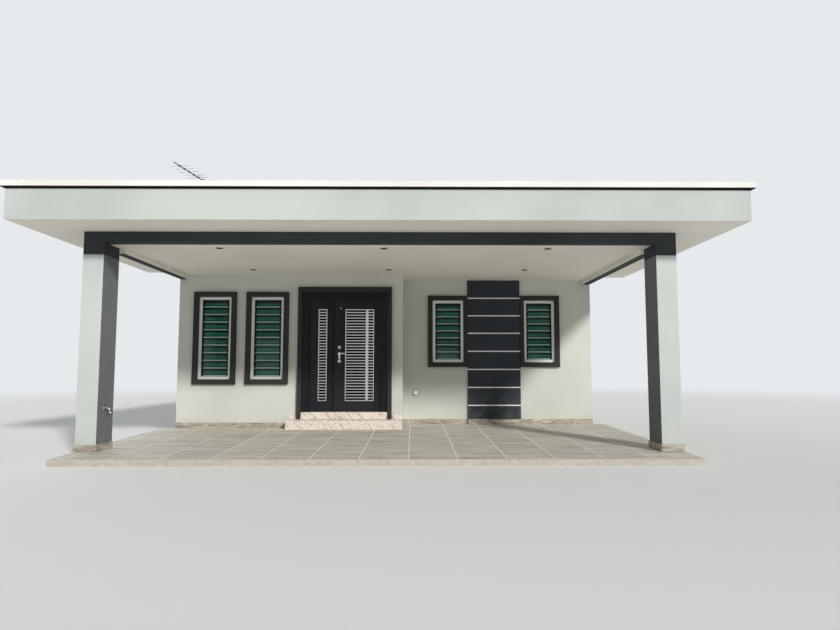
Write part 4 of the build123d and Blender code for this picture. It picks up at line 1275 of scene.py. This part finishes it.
lamp = {
    "can": 0.042,
    "top": 0.070,
    "rim": 0.055,
    "drop": 0.004,  # of the rim below the ceiling
    "rimCut": 0.003,
    "mouth": 0.041,
    "neck": 0.030,
    "deep": 0.046,
}
downlights = bmesh.new()
lampSpots = [(low + high) / 2 for low, high in solidsOf("downlights")]
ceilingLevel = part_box("porch_ceiling")[0].z
outline = [
    (0, lamp["top"]),
    (lamp["can"], lamp["top"]),
    (lamp["can"], 0),
    (lamp["rim"], 0),
    (lamp["rim"], -lamp["drop"] * 0.5),
    (lamp["rim"] - lamp["rimCut"], -lamp["drop"]),
    (lamp["mouth"] + lamp["rimCut"], -lamp["drop"]),
    (lamp["mouth"], -lamp["drop"] * 0.4),
    (lamp["neck"], lamp["deep"]),
    (0, lamp["deep"]),
]
for spot in lampSpots:
    centre = Vector((spot.x, spot.y, ceilingLevel))
    addTurned(downlights, outline, centre, upWay, [0, 0, 0, 0, 0, 0, 0, 1, 2], 32)
finishes = [bronzePlastic, darkReflector, lampPlastic]
makePiece("downlight_lamps", downlights, finishes, stands=["downlights"])
print("downlights:", len(lampSpots))

# Outdoor socket

socket = {
    "x": 0.460,
    "z": 0.730,
    "side": 0.086,
    "depth": 0.034,
    "boxCut": 0.008,
    "gasket": (0.005, 0.006),  # dark foam behind the box: how far it stands past it, and its thickness
    "lidInset": (0.006, 0.010, 0.014),  # from the box's sides, foot and head
    "lidDepth": 0.012,
    "lidCut": 0.010,
    "hinge": (0.030, 0.012, 0.005),  # half length, distance from the head, and radius
    "screw": (0.008, 0.006),  # from the box's sides and foot
    "screwHead": [(0, 0), (0.003, 0), (0.003, 0.0015), (0, 0.002)],
}
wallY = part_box("front_wall_right")[0].y


# A point of the socket: along the wall and up from its middle, out from the wall
def atSocket(along, out, up):
    return Vector((socket["x"] + along, wallY - out, socket["z"] + up))


bm = bmesh.new()
half, depth = socket["side"] / 2, socket["depth"]
rim, foam = half + socket["gasket"][0], socket["gasket"][1]
addBlock(bm, atSocket(-rim, foam, -rim), atSocket(rim, -0.001, rim), "y", 0.002, 2)
addBlock(bm, atSocket(-half, depth, -half), atSocket(half, 0, half), "y", socket["boxCut"])
side, foot, head = socket["lidInset"]
lidLow = atSocket(side - half, depth + socket["lidDepth"], foot - half)
addBlock(bm, lidLow, atSocket(half - side, depth - 0.001, half - head), "y", socket["lidCut"])
reachX, fromHead, radius = socket["hinge"]
addTube(bm, [atSocket(x, depth + radius, half - fromHead) for x in (-reachX, reachX)], radius)
side, foot = socket["screw"]
for x in (side - half, half - side):
    addTurned(bm, socket["screwHead"], atSocket(x, depth - 0.001, foot - half), -rearWay, [1, 1, 1], 12)
makePiece("outdoor_socket", bm, [whitePlastic, stainless, blackPlastic])

# Garden tap

# Turned parts are (radius, distance); places are (out of the column, up) from the middle of the flange,
# for the handle from its own middle
tap = {
    "y": -6.745,
    "z": 0.650,
    "flange": [(0, 0), (0.026, 0), (0.026, 0.004), (0.019, 0.009), (0.012, 0.01), (0, 0.01)],
    "body": [(0, 0.006), (0.011, 0.006), (0.011, 0.03), (0.015, 0.032)],
    "collar": [(0.015, 0.05), (0.011, 0.052), (0, 0.052)],
    "bore": 0.010,
    "bendFrom": 0.045,
    "bendSize": (0.032, 0.030),
    "outlet": 0.022,
    "nozzle": [(0, 0), (0.0125, 0), (0.0125, 0.014), (0.01, 0.018), (0, 0.018)],
    "nozzleUp": 0.020,
    "stem": [(0, 0), (0.009, 0), (0.009, 0.012), (0.005, 0.014), (0.005, 0.026), (0, 0.026)],
    "stemPlace": (0.041, 0.010),
    "handleUp": 0.028,
    "handle": [(-0.034, 0.002), (-0.012, 0), (0.012, 0), (0.034, 0.002)],
    "handleRadius": 0.005,
}
bm = bmesh.new()
flange = Vector((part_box("porch_ceiling")[0].x, tap["y"], tap["z"]))
for outline in (tap["flange"], tap["body"] + tap["collar"]):
    addTurned(bm, outline, flange, sideWay)
bendOut, bendDown = tap["bendSize"]
bend = []
for turn in [math.pi / 2 * k / 8 for k in range(9)]:
    out, up = tap["bendFrom"] + bendOut * math.sin(turn), -bendDown * (1 - math.cos(turn))
    bend.append(flange + sideWay * out + upWay * up)
addTube(bm, bend + [bend[-1] - upWay * tap["outlet"]], tap["bore"])
addTurned(bm, tap["nozzle"], bend[-1] - upWay * tap["nozzleUp"], -upWay)
stemOut, stemUp = tap["stemPlace"]
stem = flange + sideWay * stemOut + upWay * stemUp
addTurned(bm, tap["stem"], stem, upWay)
handle = stem + upWay * tap["handleUp"]
addTube(bm, [handle + sideWay * out + upWay * up for out, up in tap["handle"]], tap["handleRadius"], 1)
makePiece("garden_tap", bm, [chrome, blackPlastic])
print("socket and tap fitted")

# Aerial fittings

aerialFittings = {
    "rods": 6,
    "holder": (0.028, 0.030, 0.032),  # width, height and length of each rod's plastic holder
    "clamp": (0.056, 0.060, 0.030),
    "cut": 0.004,
    "clampBack": 0.026,  # its rear end, behind the boom's start
    "bolts": (0.022, 0.016),
    "bolt": [(0, 0), (0.006, 0), (0.006, 0.006), (0, 0.006)],
    "loopReach": 0.150,
    "loopRadius": 0.018,
    "loopUp": 0.020,
    "loopTube": 0.004,
}
mastTop = Vector((aerial["x"], aerial["y"], aerial["level"]))
boomWay = Vector((*aerial["boom"], 0)).normalized()
across = Vector((-boomWay.y, boomWay.x, 0))
bm = bmesh.new()
width, height, length = aerialFittings["holder"]
for number in range(aerialFittings["rods"]):
    middle = mastTop + boomWay * (aerial["first"] + number * aerial["pitch"])
    outline = chamferedOutline(width, height, aerialFittings["cut"])
    addBar(bm, outline, middle - boomWay * length / 2, boomWay * length, across, upWay, 1)
width, height, length = aerialFittings["clamp"]
clamp = mastTop - boomWay * aerialFittings["clampBack"]
outline = chamferedOutline(width, height, aerialFittings["cut"])
addBar(bm, outline, clamp, boomWay * length, across, upWay)
boltOut, boltUp = aerialFittings["bolts"]
for level in (-boltUp, boltUp):
    for way in (-boltOut, boltOut):
        addTurned(bm, aerialFittings["bolt"], clamp + across * way + upWay * level, -boomWay, None, 6)
# folded loop on the second rod
loopMiddle = mastTop + boomWay * (aerial["first"] + aerial["pitch"]) + upWay * aerialFittings["loopUp"]
loopReach, loopRadius = aerialFittings["loopReach"], aerialFittings["loopRadius"]
loop = []
for way in (1, -1):
    for turn in [math.pi * k / 6 for k in range(7)]:
        sideways, up = loopReach + loopRadius * math.sin(turn), loopRadius * math.cos(turn)
        loop.append(loopMiddle + across * way * sideways + upWay * way * up)
addTube(bm, loop + loop[:1], aerialFittings["loopTube"], 0, 8)
makePiece("aerial_fittings", bm, [aerialMetal, blackPlastic])
print("aerial fitted")

# Floor, light and camera

studio = {
    "floor": "#f3f4f4",
    "floorHalf": 260,
    "fade": (11, 34),  # the floor fades into the backdrop between these distances
    "backdrop": "#e6eaed",
    "skyColour": (0.95, 0.975, 1.0, 1),
    "skyStrength": 0.29,
}
suns = {
    "keySun": {"strength": 2.58, "angleDeg": 6, "colour": (1.0, 0.975, 0.94), "way": (0.451, -0.781, 0.432)},
    "fillSun": {"strength": 0.7, "angleDeg": 60, "colour": (0.96, 0.98, 1.0), "way": (-0.5, 0.75, 0.43)},
}


# 1 on camera, mirror and glass rays, which see the plain backdrop colour
def plainRays(tree):
    rays = addNode(tree, "LightPath", {}).outputs
    settings = {"operation": "MAXIMUM", 0: rays["Is Camera Ray"], 1: rays["Is Glossy Ray"]}
    seen = addNode(tree, "Math", settings).outputs[0]
    return addNode(tree, "Math", {"operation": "MAXIMUM", 0: seen, 1: rays["Is Transmission Ray"]}).outputs[0]


floorMesh = bmesh.new()
bmesh.ops.create_grid(floorMesh, x_segments=8, y_segments=8, size=studio["floorHalf"])
mesh = bpy.data.meshes.new("studioFloor")
floorMesh.to_mesh(mesh)
floorMesh.free()
studioFloor = bpy.data.objects.new("studioFloor", mesh)
bpy.context.scene.collection.objects.link(studioFloor)
material, tree, place = newMaterial("paleStudioFloor")
distance = addNode(tree, "VectorMath", {"operation": "LENGTH", 0: place}).outputs["Value"]
limits = {"From Min": studio["fade"][0], "From Max": studio["fade"][1], "interpolation_type": "SMOOTHSTEP"}
fade = addNode(tree, "MapRange", limits | {"Value": distance}).outputs[0]
settings = {"Base Color": studio["floor"], "Roughness": 0.9, "Specular IOR Level": 0.1}
paper = addNode(tree, "BsdfPrincipled", settings).outputs[0]
far = addNode(tree, "Emission", {"Color": studio["backdrop"], "Strength": 1.0}).outputs[0]
blend = addNode(tree, "Math", {"operation": "MULTIPLY", 0: fade, 1: plainRays(tree)}).outputs[0]
mixed = addNode(tree, "MixShader", {0: blend, 1: paper, 2: far}).outputs[0]
addNode(tree, "OutputMaterial", {"Surface": mixed})
mesh.materials.append(material)

world = bpy.data.worlds.new("studioWorld")
world.use_nodes = True
bpy.context.scene.world = world
tree = world.node_tree
tree.nodes.clear()
settings = {"Color": studio["skyColour"], "Strength": studio["skyStrength"]}
light = addNode(tree, "Background", settings).outputs[0]
plain = addNode(tree, "Background", {"Color": studio["backdrop"], "Strength": 1.0}).outputs[0]
mixed = addNode(tree, "MixShader", {0: plainRays(tree), 1: light, 2: plain}).outputs[0]
addNode(tree, "OutputWorld", {"Surface": mixed})

for name, sun in suns.items():
    lampData = bpy.data.lights.new(name, "SUN")
    lampData.energy = sun["strength"]
    lampData.angle = math.radians(sun["angleDeg"])
    lampData.color = sun["colour"]
    lampObject = bpy.data.objects.new(name, lampData)
    lampObject.rotation_mode = "QUATERNION"
    lampObject.rotation_quaternion = Vector(sun["way"]).to_track_quat("Z", "Y")
    bpy.context.scene.collection.objects.link(lampObject)

view = {
    "place": (0.4165, -15.3175, 1.150),
    "yawDeg": 0.578,
    "pitchDeg": 4.958,
    "lens": 27.27,
    "sensor": 36,
    "clip": (0.05, 800),
}
cameraData = bpy.data.cameras.new("photoCamera")
cameraData.sensor_width = view["sensor"]
cameraData.sensor_fit = "HORIZONTAL"
cameraData.lens = view["lens"]
cameraData.clip_start, cameraData.clip_end = view["clip"]
camera = bpy.data.objects.new("photoCamera", cameraData)
camera.location = view["place"]
camera.rotation_euler = (math.radians(90 + view["pitchDeg"]), 0, math.radians(-view["yawDeg"]))
bpy.context.scene.collection.objects.link(camera)
bpy.context.scene.camera = camera
bpy.context.scene.view_settings.view_transform = "Standard"
print("studio and camera ready")
